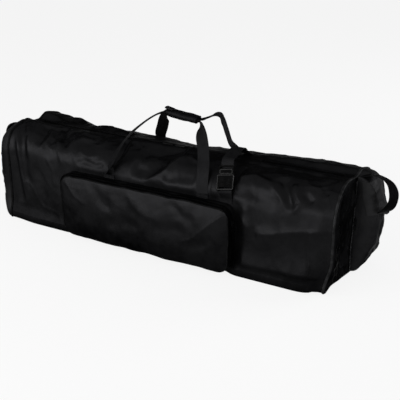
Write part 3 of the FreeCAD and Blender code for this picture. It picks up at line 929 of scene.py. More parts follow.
@dataclass
class Skin:
    """The soft outer surface of the case, read by X and by the length s round its section.

    s is 0 where the front wall starts above its rounded base edge and runs up the wall, over
    the top, down the rear wall and back under the base. Every table is in millimetres.
    """

    mid_y: float = 21.5 * MM
    half: float = 150 * MM
    height: float = 312 * MM
    corner: float = 62 * MM
    crown: float = 330 * MM
    base: float = 26 * MM
    end_x: float = 575 * MM
    face: float = 4.5 * MM
    # Left, right and top of what the pocket holds flat
    pocket: Triple = (-336.0, 281.0, 196.0)
    # Webbing that lies on the cloth: X, and s at its two ends
    straps: tuple[Triple, ...] = ((-160, 196, 262), (173, 196, 262), (252, 196, 330),
                                  (-160, 530, 600), (173, 530, 600), (225, 430, 500))
    # How far the top has slumped along the case: X and rise
    ridge_rise: Line = ((-590, 3), (-520, 2), (-430, 1), (-300, 0), (-60, 1), (-30, 0),
                        (6, 0), (40, 1), (200, 0), (590, 0))
    rear_rise: Line = ((-600, 24), (-560, 23), (-528, 19), (-500, 9), (-440, 7), (-410, -3),
                       (-380, -4), (-320, 4), (-260, 3), (-200, -2), (-80, -5), (100, -4),
                       (200, -1), (290, 6), (400, 11), (520, 13), (600, 12))
    front_rise: Line = ((-600, 18), (-560, 23), (-500, 17), (-440, 9), (-400, 3), (-330, 7),
                        (-250, 2), (-160, -2), (0, -4), (150, 0), (300, 2), (400, 4),
                        (600, 4))
    # Bulges along a wall: height above its foot, spread and depth
    front_bulges: tuple[Triple, ...] = ((62, 44, 3.0), (190, 40, 3.0))
    rear_bulges: tuple[Triple, ...] = ((66, 50, 4.0), (222, 46, 3.0))
    bulge_sway: Rumple = Rumple(190, 3, 0.5, second=(0, 0.35))
    loose: tuple[Rumple, ...] = (
        Rumple(120, 11, 2.8, second=(0, 0.7)), Rumple(62, 12, 1.7, (1.3, 0), (0, 0.8)),
        Rumple(33, 13, 1.0, (1, 0.5), (0, 0.6)), Rumple(17, 14, 0.4, (0.9, -0.4), (0, 0.8)),
        Rumple(46, 15, 1.8, (0.8, 0.35), (0, 0.55), crest=6))
    folds: tuple[Fold, ...] = (
        # The arc above the pocket, the hollow that it bounds and the flat slope beyond it
        Fold(((47, 402), (60, 330), (38, 262), (-8, 226), (-44, 200)), 9.0, 12.0, 26.0,
             sharp=True, open_start=True),
        Fold(((-93, 318), (-26, 330), (3, 355), (25, 402)), -12.0, 34.0),
        Fold(((-88, 250), (-30, 250), (10, 290)), -15.0, 32.0),
        Fold(((30, 226), (80, 244), (150, 246)), -7.0, 22.0),
        Fold(((66, 340), (110, 318), (165, 300)), 5.0, 9.0, 18.0, sharp=True),
        # Beside the left front strap
        Fold(((-217, 463), (-165, 352), (-144, 281), (-158, 218)), -7.0, 16.0, 9.0),
        # Crumples gathered at the left
        Fold(((-482, 352), (-456, 288), (-452, 246)), -9.0, 13.0),
        Fold(((-456, 363), (-414, 300), (-410, 256)), -9.0, 14.0),
        Fold(((-444, 390), (-385, 310), (-336, 259)), -10.0, 16.0),
        Fold(((-461, 237), (-441, 241), (-433, 268), (-401, 247), (-408, 291), (-359, 255)),
             5.0, 8.0, sharp=True),
        Fold(((-300, 214), (-262, 232), (-214, 226), (-176, 236)), -5.0, 14.0, 9.0),
        Fold(((-300, 262), (-250, 246), (-200, 262)), 4.0, 9.0, 16.0, sharp=True),
        # Soft upright folds by the left end
        Fold(((-580, 322), (-512, 229), (-512, 162), (-498, 92)), -7.0, 19.0),
        Fold(((-578, 276), (-549, 192), (-541, 103), (-532, 33)), -6.0, 16.0),
        Fold(((-584, 305), (-533, 227), (-528, 139), (-511, 92)), 4.5, 9.0),
        Fold(((-575, 346), (-502, 268), (-486, 203)), 5.0, 11.0),
        Fold(((-470, 190), (-440, 140), (-436, 84), (-452, 30)), -4.0, 20.0),
        Fold(((-420, 226), (-392, 178), (-388, 120)), 4.0, 11.0, 20.0, sharp=True),
        Fold(((-344, 258), (-331, 288), (-308, 313), (-260, 318)), 6.0, 9.0, 16.0, sharp=True),
        Fold(((-493, 451), (-475, 508), (-342, 424), (-311, 474), (-208, 443)), 6.0, 14.0),
        # The right of the front: a pillow, the dent in it and the bulge below
        Fold(((268, 268), (320, 294), (380, 271), (419, 236), (449, 203)), 6.0, 10.0, 20.0,
             sharp=True, open_start=True),
        Fold(((262, 226), (320, 240), (380, 226), (420, 214)), -8.0, 24.0, open_start=True),
        Fold(((286, 178), (328, 142), (360, 126), (400, 134), (450, 150), (515, 165),
              (582, 180)), 15.0, 90.0, 74.0, sharp=True, open_start=True, open_end=True),
        Fold(((398, 313), (432, 253), (455, 209)), -11.0, 13.0),
        Fold(((437, 294), (467, 245), (480, 238), (455, 203)), 6.0, 7.0, 12.0, sharp=True),
        Fold(((480, 268), (500, 248), (512, 243)), -6.0, 9.0),
        Fold(((520, 300), (536, 284), (548, 270)), -6.0, 9.0),
        Fold(((470, 240), (520, 252), (580, 244)), -6.0, 20.0, open_end=True),
        Fold(((462, 284), (520, 292), (580, 280)), 4.0, 9.0, 16.0, sharp=True, open_end=True),
        Fold(((300, 22), (369, 26), (456, 30), (580, 34)), 9.0, 14.0, 36.0, open_start=True,
             open_end=True),
        Fold(((330, 210), (352, 150), (344, 96)), -4.0, 12.0, 8.0),
        Fold(((520, 180), (508, 110), (520, 40)), 4.0, 10.0, 22.0, sharp=True),
        Fold(((232, 368), (337, 352), (427, 360), (522, 346)), -5.0, 26.0),
        # The rear, which sags in the same way
        Fold(((-430, 545), (-380, 590), (-360, 660), (-372, 720)), -8.0, 20.0, 12.0),
        Fold(((-300, 470), (-262, 548), (-250, 610)), -7.0, 18.0),
        Fold(((-90, 500), (-60, 560), (10, 596), (60, 570), (84, 505)), 6.0, 11.0, 26.0,
             sharp=True),
        Fold(((-40, 540), (10, 552), (40, 530)), -9.0, 30.0),
        Fold(((330, 520), (352, 590), (345, 655)), -8.0, 15.0),
        Fold(((430, 500), (455, 560), (498, 610), (560, 628)), 5.0, 10.0, 20.0, sharp=True),
        Fold(((-560, 730), (-420, 742), (-200, 738), (40, 744), (300, 736), (560, 730)), 8.0,
             34.0, open_start=True, open_end=True),
        Fold(((-560, 610), (-300, 600), (0, 612), (300, 604), (560, 610)), 5.0, 30.0,
             open_start=True, open_end=True),
        Fold(((-540, 600), (-500, 640), (-480, 700)), -6.0, 14.0),
        Fold(((-120, 640), (-96, 700), (-110, 752)), 4.0, 9.0, 22.0, sharp=True),
        Fold(((190, 640), (214, 690), (206, 750)), -5.0, 16.0),
    )
    # Rolls where the front wall meets the floor, which nothing holds down
    feet: tuple[Fold, ...] = (
        Fold(((296, -8), (400, -8), (500, -6), (556, 6)), 15.0, 36.0, open_start=True),
        Fold(((-600, -6), (-500, -8), (-345, -10)), 12.0, 32.0, open_start=True,
             open_end=True),
    )

    def __post_init__(self) -> None:
        """Lay out the section."""
        lean = math.asin((self.half - self.corner) / (self.crown - self.corner))
        turn = 90 - math.degrees(lean)
        top_y, base_y = self.half - self.corner, self.half - self.base
        crown_z = self.height - self.crown
        self.shoulder = crown_z + (self.crown - self.corner) * math.cos(lean)
        self.loop = Loop([(np.array([[-self.half, self.base]]), np.array([[-1.0, 0.0]])),
                          arc_points((-top_y, self.shoulder), self.corner, 180, 180 - turn),
                          arc_points((0, crown_z), self.crown, 180 - turn, turn, 160),
                          arc_points((top_y, self.shoulder), self.corner, turn, 0),
                          arc_points((base_y, self.base), self.base, 0, -90, 20),
                          arc_points((-base_y, self.base), self.base, -90, -180, 20)])
        self.ridge = (self.shoulder - self.base + self.corner * math.radians(turn)
                      + self.crown * lean)
        self.top_end = 2 * self.ridge

    def s_of_wall(self, z: float, side: Side) -> float:
        """Length round the section of a height on a wall."""
        s = z - self.base
        return s if side is Side.FRONT else self.top_end - s

    def s_of_crown(self, y: float) -> float:
        """Length round the section of a depth, from the middle, on the crown."""
        return self.ridge + self.crown * math.asin(y / self.crown)

    def relief(self, x: Points, s: Points) -> Points:
        """How far the cloth stands out from its plain section.

        Args:
            x: places along the case.
            s: lengths round the section.

        Returns:
            The distances, in metres as x and s are.
        """
        s = np.where(s > (self.top_end + self.loop.total) / 2, s - self.loop.total, s)
        xm, front = x / MM, s / MM
        rear = self.top_end / MM - front
        bulge = sum(depth * bell(up - middle, spread)
                    for up, bulges in ((front, self.front_bulges), (rear, self.rear_bulges))
                    for middle, spread, depth in bulges)
        total = (relief_of(self.folds, xm, front) - 0.4 + relief_of(self.loose, xm, front)
                 + bulge * (0.75 + self.bulge_sway.relief(xm, front)))
        roll = 6.5 * (bell(front + 20, 15) + bell(rear + 20, 15))
        free = self.freedom(xm, front)
        held = np.maximum(total, 0) * self.strapped(xm, front) * free
        return (total * free - held + roll + relief_of(self.feet, xm, front)) * MM

    def freedom(self, xm: Points, sm: Points) -> Points:
        """Share of the relief that is left where pocket, seams, ends and zip hold the cloth.

        Args:
            xm: places along the case, in millimetres.
            sm: lengths round the section, in millimetres.

        Returns:
            The shares.
        """
        left, right, top = self.pocket
        away = np.hypot(np.maximum(np.maximum(left - xm, xm - right), 0),
                        np.maximum(sm - top, 0))
        pocket = np.where(sm < self.ridge / MM, smooth_step((away - 2) / 34), 1.0)
        base = smooth_step(np.minimum(sm, self.top_end / MM - sm) / 40 + 0.25)
        ends = 0.35 + 0.65 * smooth_step((self.end_x / MM - np.abs(xm)) / 45)
        from_zip = np.abs(sm - self.ridge / MM)
        zip_line = 0.35 + 0.65 * smooth_step((from_zip - 10) / 26)
        sliders = 1 - bell(xm + 13, 36) * bell(from_zip, 30)
        return pocket * base * ends * zip_line * sliders

    def strapped(self, xm: Points, sm: Points) -> Points:
        """How much the webbing that lies on the cloth holds its ridges down.

        Args:
            xm: places along the case, in millimetres.
            sm: lengths round the section, in millimetres.

        Returns:
            1 under the webbing, 0 clear of it.
        """
        held = np.zeros(xm.shape)
        for x, low, high in self.straps:
            near = smooth_step((34 - np.abs(xm - x)) / 14)
            near *= smooth_step((sm - low + 26) / 20) * smooth_step((high + 26 - sm) / 20)
            held = np.maximum(held, near)
        return held

    def at(self, x: Points | float, s: Points | float, lift: float = 0.0,
           tucked: bool = True) -> Points:
        """Places on the skin.

        Args:
            x: places along the case.
            s: lengths round the section.
            lift: how far outside the skin.
            tucked: whether the ends are drawn in.

        Returns:
            The places, one row each.
        """
        x, s = np.broadcast_arrays(np.asarray(x, float), np.asarray(s, float))
        place, out = self.loop.at(s)
        y, z = (place + (self.relief(x, s) + lift)[:, None] * out).T
        rear, front = smooth_step((y / MM - 8) / 42), smooth_step((-y / MM - 8) / 42)
        hump = (self.profile(self.rear_rise, x) * rear + self.profile(self.front_rise, x) * front
                + self.profile(self.ridge_rise, x) * (1 - rear - front))
        z = z + hump * smooth_step((z - 0.20) / 0.09)
        places = np.stack([x, y + self.mid_y, np.maximum(z, 0.0)], 1)
        return self.tuck(places) if tucked else places

    @staticmethod
    def profile(line: Line, x: Points) -> Points:
        """Read a line along the case, with its corners rounded.

        Args:
            line: the line, in millimetres.
            x: places along the case.

        Returns:
            Its heights.
        """
        xs, zs = np.array(line, float).T * MM
        steps = np.array([-12, -6, 0, 6, 12]) * MM
        return sum(np.interp(x + step, xs, zs) for step in steps) / len(steps)

    def tuck(self, places: Points) -> Points:
        """Lift the corners of both ends off the floor and draw their shallow halves in.

        Args:
            places: places on the case, one row each.

        Returns:
            The places with the ends drawn in.
        """
        x, y, z = places.T
        way = np.sign(x)
        across = (y - self.mid_y) * way / self.half
        near = smooth_step((np.abs(x) - 0.470) / 0.105)
        lift = 15 * MM * near * (1 - smooth_step(z / 0.15))
        lift *= (0.45 + 0.55 * smooth_step((across + 1) / 0.4)) * np.where(x < 0, 0.4, 1.0)
        dent = bell(across + 0.42, 0.34) * (1 - 0.75 * smooth_step(z / 0.25))
        dent *= 0.4 + 0.6 * smooth_step(z / 0.09)
        corner = smooth_step((-across - 0.35) / 0.55) * (1 - smooth_step(z / 0.11))
        drawn = near * (26 * MM * near * dent + np.where(x > 0, 20 * MM, 8 * MM) * corner)
        return np.stack([x - way * drawn, y, z + lift], 1)

    def turned(self, places: Points) -> Points:
        """Places after half a turn about the case's upright axis."""
        x, y, z = places.T
        return np.stack([-x, 2 * self.mid_y - y, z], 1)

    def patch(self, name: str, xs: Pair, ss: Pair, thickness: float = 3 * MM,
              lift: float = 0.0) -> Piece:
        """A patch of cloth on the skin.

        Args:
            name: the piece's name.
            xs: its two ends along the case.
            ss: its two edges round the section.
            thickness: the cloth's thickness.
            lift: how far outside the skin it lies.

        Returns:
            The piece.
        """
        (x0, x1), (s0, s1) = xs, ss
        size = (x1 - x0, s1 - s0)
        along, across = (max(2, round(length / self.face)) for length in size)
        return shaped_grid(name, along, across, size,
                           lambda u, v: self.at(x0 + u * size[0], s0 + v * size[1], lift),
                           thickness)


# Webbing, piping, teeth and stitches


@dataclass
class Band:
    """Webbing laid through stations and smoothed between them.

    Each station has its middle, the way that its width lies, its width and how far it cups.
    """

    centers: Sequence[Sequence[float]]
    lays: Sequence[Sequence[float]]
    widths: Sequence[float] | float = 38 * MM
    thickness: float = 2.4 * MM
    curl: Sequence[float] | float = 0.0

    def smoothed(self, count: int) -> tuple[Points, Points, Points, Points]:
        """Smooth line through the stations.

        Args:
            count: how many places it has.

        Returns:
            Their middles, lays, widths and curls.
        """
        centers = np.array(self.centers, float)
        knots = running(np.sqrt(steps_of(centers)))
        size = len(centers)
        table = np.column_stack([centers, np.array(self.lays, float),
                                 np.broadcast_to(self.widths, size),
                                 np.broadcast_to(self.curl, size)])
        slopes = np.gradient(table, knots, axis=0)
        t = np.linspace(0, knots[-1], count)
        place = np.clip(np.searchsorted(knots, t, side="right") - 1, 0, size - 2)
        gap = (knots[place + 1] - knots[place])[:, None]
        f = (t - knots[place])[:, None] / gap
        out = ((2 * f ** 3 - 3 * f ** 2 + 1) * table[place]
               + (f ** 3 - 2 * f ** 2 + f) * gap * slopes[place]
               + (3 * f ** 2 - 2 * f ** 3) * table[place + 1]
               + (f ** 3 - f ** 2) * gap * slopes[place + 1])
        return out[:, :3], unit(out[:, 3:6]), out[:, 6], out[:, 7]

    def build(self, name: str, step: float = 4 * MM, across: int = 8) -> Piece:
        """Make the webbing.

        Args:
            name: the piece's name.
            step: length of one face.
            across: faces over its width.

        Returns:
            The piece.
        """
        length = steps_of(np.array(self.centers, float)).sum()
        count = max(6, round(length / step))
        mids, lays, widths, curls = self.smoothed(count + 1)
        ways = unit(np.gradient(mids, axis=0))
        lays = unit(lays - ways * (lays * ways).sum(1)[:, None])
        outs = np.cross(lays, ways)

        def shape(u: Points, v: Points) -> Points:
            """Places of the webbing's middle sheet.

            Args:
                u: shares of its length.
                v: shares of its width.

            Returns:
                The places.
            """
            i = np.rint(u * count).astype(int)
            w = v - 0.5
            cup = curls[i] * (4 * w ** 2 - 0.5)
            return mids[i] + lays[i] * (w * widths[i])[:, None] + outs[i] * cup[:, None]

        return shaped_grid(name, count, across, (length, 38 * MM), shape, self.thickness, 0.0)


def cord(name: str, path: Points, radius: float, around: int = 10) -> Piece:
    """Round piping along a dense path that comes back to its start.

    Args:
        name: the piece's name.
        path: places along it, the last on the first.
        radius: its radius.
        around: faces round it.

    Returns:
        The piece.
    """
    count = len(path) - 1
    ways = np.gradient(path, axis=0)
    ways[0] = ways[-1] = path[1] - path[-2]
    flat_way = np.eye(3)[int(np.argmin(np.ptp(path, axis=0)))]
    first = unit(np.cross(unit(ways), flat_way))
    second = np.cross(first, unit(ways))

    def shape(u: Points, v: Points) -> Points:
        """Places round the path.

        Args:
            u: shares of its length.
            v: shares of the way round.

        Returns:
            The places.
        """
        i = np.rint(u * count).astype(int)
        turn = FULL_TURN * v
        return (path[i] + first[i] * (radius * np.cos(turn))[:, None]
                + second[i] * (radius * np.sin(turn))[:, None])

    piece = shaped_grid(name, count, around, (steps_of(path).sum(), FULL_TURN * radius), shape)
    Bench.seal(piece, radius * 0.05)
    Bench.smooth(piece, 50.0)
    return piece


@dataclass(frozen=True)
class Nub:
    """A small block with some faces drawn in, which is made once and then copied."""

    size: Triple
    drawn: Callable[[Vector], bool]
    inset: float
    depth: float

    def corners(self) -> tuple[Points, Points]:
        """Model the block and read it.

        Returns:
            Its corners, and its faces as rows of four.
        """
        half = Vector(self.size) / 2
        piece = Bench.block("nub", -half, half)
        Bench.pick(piece, "polygons", lambda face: self.drawn(face.normal))
        with Bench.edit(piece):
            bpy.ops.mesh.inset(thickness=self.inset, depth=self.depth)
        faces = np.array([[*face.vertices] for face in piece.data.polygons])
        places = places_of(piece)
        bpy.data.objects.remove(piece)
        return places, faces

    def copies(self, name: str, places: Points, ways: Points,
               ups: Points | Sequence[float]) -> Piece:
        """Copies of the block in a single mesh.

        Args:
            name: the piece's name.
            places: where each copy goes.
            ways: where its X points.
            ups: what its Z points towards.

        Returns:
            The piece.
        """
        corners, faces = self.corners()
        x = unit(ways)
        y = unit(np.cross(ups, x))
        frames = np.stack([x, y, np.cross(x, y)], 2)
        moved = np.einsum("nij,kj->nki", frames, corners) + places[:, None, :]
        starts = np.arange(len(places)) * len(corners)
        mesh = bpy.data.meshes.new(name)
        mesh.from_pydata(moved.reshape(-1, 3).tolist(), [],
                         (faces[None] + starts[:, None, None]).reshape(-1, 4).tolist())
        mesh.update()
        piece = bpy.data.objects.new(name, mesh)
        bpy.context.scene.collection.objects.link(piece)
        Bench.smooth(piece, 50.0)
        return piece


TOOTH = Nub((1.5 * MM, 3.2 * MM, 1.6 * MM), lambda way: way.z > 0.9, 0.35 * MM, 0.3 * MM)
STITCH = Nub((3.1 * MM, 0.75 * MM, 0.5 * MM), lambda way: abs(way.x) > 0.9, 0.18 * MM,
             0.165 * MM)


def stitched(name: str, line: Points, body: str) -> None:
    """Lock stitches of thick thread along a line on the top of the case.

    Args:
        name: the piece's name.
        line: places along it.
        body: what it rides on.
    """
    pitch = 4.4 * MM
    run = running(steps_of(line))
    stops = np.arange(pitch / 2, run[-1], pitch)
    places, ahead, behind = (read_rows(stops + step * MM, run, line)
                             for step in (0.0, 0.5, -0.5))
    dress(STITCH.copies(name, places, ahead - behind, UP), THREAD, Slot.BINDING, body)


# Sub-assemblies


@dataclass
class Shell:
    """The case's cloth: base, long walls, bands, the four flaps of the top and their zip."""

    skin: Skin
    flap_z: float = 222 * MM
    flap_end: float = 548.7 * MM
    strap_band: Pair = (0.200, 0.290)
    slot: float = 8 * MM
    tape: float = 16 * MM
    tape_thickness: float = 1 * MM
    tape_drop: float = 3.1 * MM
    gap: float = 0.15 * MM
    tooth_pitch: float = 2.6 * MM
    tooth_row: float = 1.7 * MM
    tooth_drop: float = 2.2 * MM
    bend: float = 28 * MM
    stitch_row: float = 11.2 * MM

    def build(self) -> None:
        """Make every piece of the shell."""
        skin, end, gap = self.skin, self.skin.end_x, self.gap
        self.edges = {side: skin.s_of_wall(self.flap_z, side) for side in Side}
        front, rear = self.edges.values()
        low, high = self.strap_band
        for name, node, xs, ss in (
                ("base", "bottom_panel", (-end, end), (skin.top_end, skin.loop.total)),
                ("front", "front_panel", (-end, end), (0.0, front)),
                ("rear", "rear_panel", (-end, end), (rear, skin.top_end)),
                ("strap_band", "strap_band", (low, high), (front, rear)),
                ("left_band", "left_end_band", (-end, -self.flap_end - gap), (front, rear)),
                ("right_band", "right_end_band", (self.flap_end + gap, end), (front, rear))):
            dress(skin.patch(f"{name}_cloth", xs, ss), NYLON, Slot.NYLON, "case", node)
        for side in Side:
            self.flap(side, "left", (-self.flap_end, low - gap))
            self.flap(side, "right", (high + gap, self.flap_end))

    def flap(self, side: Side, place: str, xs: Pair) -> None:
        """One flap of the top with its half of the zip.

        Args:
            side: front or rear.
            place: left or right.
            xs: its two ends along the case.
        """
        skin, way = self.skin, side.value
        body = f"{side.word}_flap_{place}"
        cloth = skin.patch(f"{body}_cloth", xs,
                           sorted((self.edges[side], skin.ridge + way * self.slot)))
        dress(cloth, NYLON, Slot.NYLON, body, body, bend=(self.flap_z, self.flap_z + self.bend))
        tape = skin.patch(f"{side.word}_tape_{place}", xs,
                          sorted(skin.ridge + way * edge for edge in (self.gap, self.tape)),
                          self.tape_thickness, -self.tape_drop)
        dress(tape, TAPE_CLOTH, Slot.ZIP_TAPE, body, f"{side.word}_zip_{place}")
        x = np.arange(xs[0] + self.tooth_pitch, xs[1], self.tooth_pitch)
        if side is Side.REAR:
            x += self.tooth_pitch / 2
        places, ahead = (skin.at(x + step, skin.ridge + way * self.tooth_row, -self.tooth_drop)
                         for step in (0.0, 1 * MM))
        dress(TOOTH.copies(f"{side.word}_teeth_{place}", places, ahead - places, UP), COIL,
              Slot.ZIP_METAL, body)
        run = np.arange(xs[0] + 4 * MM, xs[1] - 4 * MM, 3 * MM)
        stitched(f"{side.word}_zip_stitches_{place}",
                 skin.at(run, skin.ridge + way * self.stitch_row, 0.15 * MM), body)


# Stations of the two loop handles: X, Z, then how far the webbing leans outwards and upwards
RIGHT_LOOP = ((0.586, 0.3095, 0, 0), (0.602, 0.3128, 0, -0.1), (0.6367, 0.3165, 0, -0.25),
              (0.6690, 0.2995, 0.2, -0.2), (0.6835, 0.2650, 0.45, 0),
              (0.6755, 0.2300, 0.5, -0.45), (0.6500, 0.2063, 0.2, -0.25))
LEFT_LOOP = ((0.586, 0.3095, 0, 0), (0.600, 0.3070, 0, 0.2), (0.6367, 0.3040, 0, 0.3),
             (0.6685, 0.2875, 0, 0.3), (0.6814, 0.2600, 0, 0.15), (0.6686, 0.2273, 0, 0),
             (0.6495, 0.2063, 0, 0))


@dataclass
class End:
    """One end of the case: two bulging halves, the zip between them, patch and loop handle.

    It is worked out as the right end, whose rear half is the deep one, and the left end is
    the same turned round.
    """

    skin: Skin
    word: str
    turned: bool
    loop: tuple[tuple[float, float, float, float], ...]
    welt_x: float = 584 * MM
    welt_radius: float = 4.5 * MM
    slot: float = 8 * MM
    deep: float = 59 * MM
    shallow: float = 9 * MM
    middle_z: float = 131 * MM
    handle_y: float = 30 * MM
    zip_top: float = 307 * MM
    tape_width: float = 19 * MM
    tooth_pitch: float = 2.6 * MM
    # The patch's inner and outer depth from the case's middle, and its foot and top
    patch: tuple[float, float, float, float] = (0.0105, 0.105, 0.198, 0.298)
    deep_cloth: tuple[Rumple, ...] = (
        Rumple(52, 31, 3.2), Rumple(24, 32, 2.0, second=(0, 0.6)),
        Rumple(21, 33, 1.2, (1, 1), (-1, 1)), Rumple(38, 34, 3.0, (1, -0.4), (0, 0.8), crest=5))
    shallow_cloth: tuple[Rumple, ...] = (
        Rumple(30, 35, 5.0, second=(0, 0.5)), Rumple(15, 36, 2.4, (1.4, 0), (0, 0.6)),
        Rumple(30, 37, 4.0, (1.3, 0.3), (0, 0.45), crest=4))

    def build(self) -> None:
        """Make the end."""
        self.rims = {side: self.rim(side) for side in Side}
        deep, shallow = ("front", "rear") if self.turned else ("rear", "front")
        # Painted light: the deep half is dressed in a lighter copy of the nylon.
        self.half(Side.REAR, f"{self.word}_end_{deep}", LIT_END_CLOTH)
        # Painted shade: the shallow half is dressed in a darker copy of the nylon.
        self.half(Side.FRONT, f"{self.word}_end_{shallow}", SHADED_END_CLOTH)
        self.welt()
        self.upright_zip()
        self.loose_patch()
        self.handle()

    def placed(self, places: Points) -> Points:
        """Places of the right end put where this end is, drawn in with the case's cloth."""
        return self.skin.tuck(self.skin.turned(places) if self.turned else places)

    def section(self, s: Points, lift: float = 0.0) -> Points:
        """Places on the case's skin at this end, turned back to the right end.

        Args:
            s: lengths round the section of the right end.
            lift: how far outside the skin.

        Returns:
            The places.
        """
        skin = self.skin
        if not self.turned:
            return skin.at(skin.end_x, np.mod(s, skin.loop.total), lift, tucked=False)
        mirrored = np.mod(skin.top_end - s, skin.loop.total)
        return skin.turned(skin.at(-skin.end_x, mirrored, lift, tucked=False))

    def rim(self, side: Side) -> tuple[Points, Points, Points]:
        """Outline of one half.

        Args:
            side: which half of the right end.

        Returns:
            Its middle, then the directions from there and the reach in each.
        """
        way, ridge = side.value, self.skin.ridge
        far = ridge + way * (self.skin.loop.total / 2 - self.slot)
        low, high = sorted((far, ridge + way * self.slot))
        arc = self.section(np.linspace(low, high, 500))[:, 1:]
        zs = np.linspace(arc[-1, 1], arc[0, 1], 200)[1:-1]
        line = np.stack([np.full(len(zs), self.skin.mid_y + way * self.slot), zs], 1)
        middle = np.array([self.skin.mid_y + way * (self.skin.half + self.slot) / 2,
                           self.middle_z])
        away = np.concatenate([arc, line]) - middle
        angle = np.arctan2(away[:, 1], away[:, 0])
        order = np.argsort(angle)
        return middle, angle[order], np.hypot(*away.T)[order]

    def out(self, side: Side, y: Points, z: Points) -> Points:
        """How far out a half's cloth stands at places on the end.

        Args:
            side: the deep rear half or the shallow front half.
            y: depths.
            z: heights.

        Returns:
            X of the cloth.
        """
        middle, angles, reaches = self.rims[side]
        dy, dz = y - middle[0], z - middle[1]
        reach = np.interp(np.arctan2(dz, dy), angles, reaches, period=FULL_TURN)
        share = np.clip(np.hypot(dy, dz) / reach, 0, 1)
        dome = np.sqrt(np.clip(1 - share ** 4, 0, 1)) * (0.68 + 0.32 * smooth_step(z / 0.15))
        ym, zm = y / MM, z / MM
        if side is Side.REAR:
            swell, rough = self.deep, relief_of(self.deep_cloth, ym, zm) - 1
        else:
            swell = self.shallow
            rough = relief_of(self.shallow_cloth, ym, zm) - 6.0 * bell(zm - 150, 90)
        return self.welt_x + swell * dome + rough * smooth_step((1 - share) / 0.2) * MM

    def half(self, side: Side, node: str, finish: Finish) -> None:
        """Cloth of one half, a fan of rings from its rim to its middle.

        Args:
            side: which half of the right end.
            node: the node that it stands for.
            finish: its finish.
        """
        middle, angles, reaches = self.rims[side]

        def shape(u: Points, v: Points) -> Points:
            """Places of the fan.

            Args:
                u: shares of the way round.
                v: shares of the way to its middle.

            Returns:
                The places.
            """
            angle = FULL_TURN * (u - 0.5)
            reach = np.interp(angle, angles, reaches, period=FULL_TURN) * (1 - v) ** 0.75
            y, z = middle[0] + np.cos(angle) * reach, middle[1] + np.sin(angle) * reach
            return self.placed(np.stack([self.out(side, y, z), y, z], 1))

        piece = shaped_grid(f"{node}_cloth", 260, 44, (1.2, 0.3), shape)
        Bench.seal(piece, SEAM)
        outward = sum(face.normal.x for face in piece.data.polygons)
        if (outward < 0) != self.turned:
            with Bench.edit(piece):
                bpy.ops.mesh.select_all(action="SELECT")
                bpy.ops.mesh.flip_normals()
        Bench.modify(piece, "SOLIDIFY", thickness=3 * MM, offset=-1.0)
        Bench.smooth(piece, 60.0)
        dress(piece, finish, Slot.NYLON, "case", node)

    def welt(self) -> None:
        """Thick piping round the end."""
        path = self.section(np.linspace(0, self.skin.loop.total, 560), -0.6 * MM)
        path[:, 0] = self.welt_x - self.welt_radius
        path[:, 2] = np.maximum(path[:, 2], self.welt_radius)
        piece = cord(f"{self.word}_welt", self.placed(path), self.welt_radius, 12)
        # The left end's welt takes the darker piping as painted shade; the right end's takes the
        # binding.
        dress(piece, SHADED_CORD if self.turned else BINDING, Slot.BINDING, "case",
              f"{self.word}_end_welt")

    def upright_zip(self) -> None:
        """Zip between the halves: its tape and two rows of teeth."""
        mid_y, top, pitch = self.skin.mid_y, self.zip_top, self.tooth_pitch

        def shape(u: Points, v: Points) -> Points:
            """Places of the tape."""
            x = self.welt_x + (0.2 + Rumple(40, 71, 0.35).relief(u * top / MM, v * 4)) * MM
            return self.placed(np.stack([x, mid_y + (v - 0.5) * self.tape_width, u * top], 1))

        tape = shaped_grid(f"{self.word}_end_tape", 90, 6, (top, self.tape_width), shape,
                           1 * MM, 1.0)
        dress(tape, TAPE_CLOTH, Slot.ZIP_TAPE, "case", f"{self.word}_end_zip")
        rows = []
        for side in Side:
            z = np.arange(4 * MM, top - 4 * MM, pitch) + (side is Side.REAR) * pitch / 2
            rows.append([(self.welt_x + 2 * MM, mid_y + side.value * 1.6 * MM, up) for up in z])
        places = self.placed(np.concatenate(rows))
        teeth = TOOTH.copies(f"{self.word}_end_teeth", places, np.tile(UP, (len(places), 1)),
                             (-1.0 if self.turned else 1.0, 0.0, 0.0))
        dress(teeth, METAL, Slot.ZIP_METAL, "case")

    def loose_patch(self) -> None:
        """Patch sewn on the deep half, with its lower outer corner come loose."""
        y0, y1, z0, z1 = self.patch

        def shape(u: Points, v: Points) -> Points:
            """Places of the patch.

            Args:
                u: shares of its width.
                v: shares of its height.

            Returns:
                The places.
            """
            low = smooth_step((0.45 - v) / 0.45)
            loose = smooth_step((u - 0.45) / 0.55) * low
            near = smooth_step((0.4 - u) / 0.4) * smooth_step((0.7 - v) / 0.5)
            y = self.skin.mid_y + y0 - 1.7 * MM * v * (1 - u) + (y1 - y0) * u ** 1.6
            z = z0 + (z1 - z0) * v - loose * 12 * MM + low * np.sin(u * 5) * 3 * MM
            x = self.out(Side.REAR, y, z) + (1.2 + loose * 8 + low * 6 + near * 5) * MM
            return self.placed(np.stack([x, y, z], 1))

        piece = shaped_grid(f"{self.word}_patch", 30, 32, (y1 - y0, z1 - z0), shape, 3 * MM)
        # Painted light: the patch is dressed in a lighter copy of the nylon.
        dress(piece, LIT_PATCH_CLOTH, Slot.NYLON, "case", f"{self.word}_end_patch")

    def handle(self) -> None:
        """Loop of webbing that stands out from the end."""
        y = self.skin.mid_y + self.handle_y
        centers = self.placed(np.array([(x, y, z) for x, z, _, _ in self.loop]))
        way = -1.0 if self.turned else 1.0
        lays = [(way * out, way, tilt) for _, _, out, tilt in self.loop]
        # Painted shade: the loop is dressed in a darker copy of the webbing.
        dress(Band(centers, lays, curl=0.5 * MM).build(f"{self.word}_loop"), SHADED_HANDLE_WEBBING,
              Slot.WEBBING, "case", f"{self.word}_end_handle")


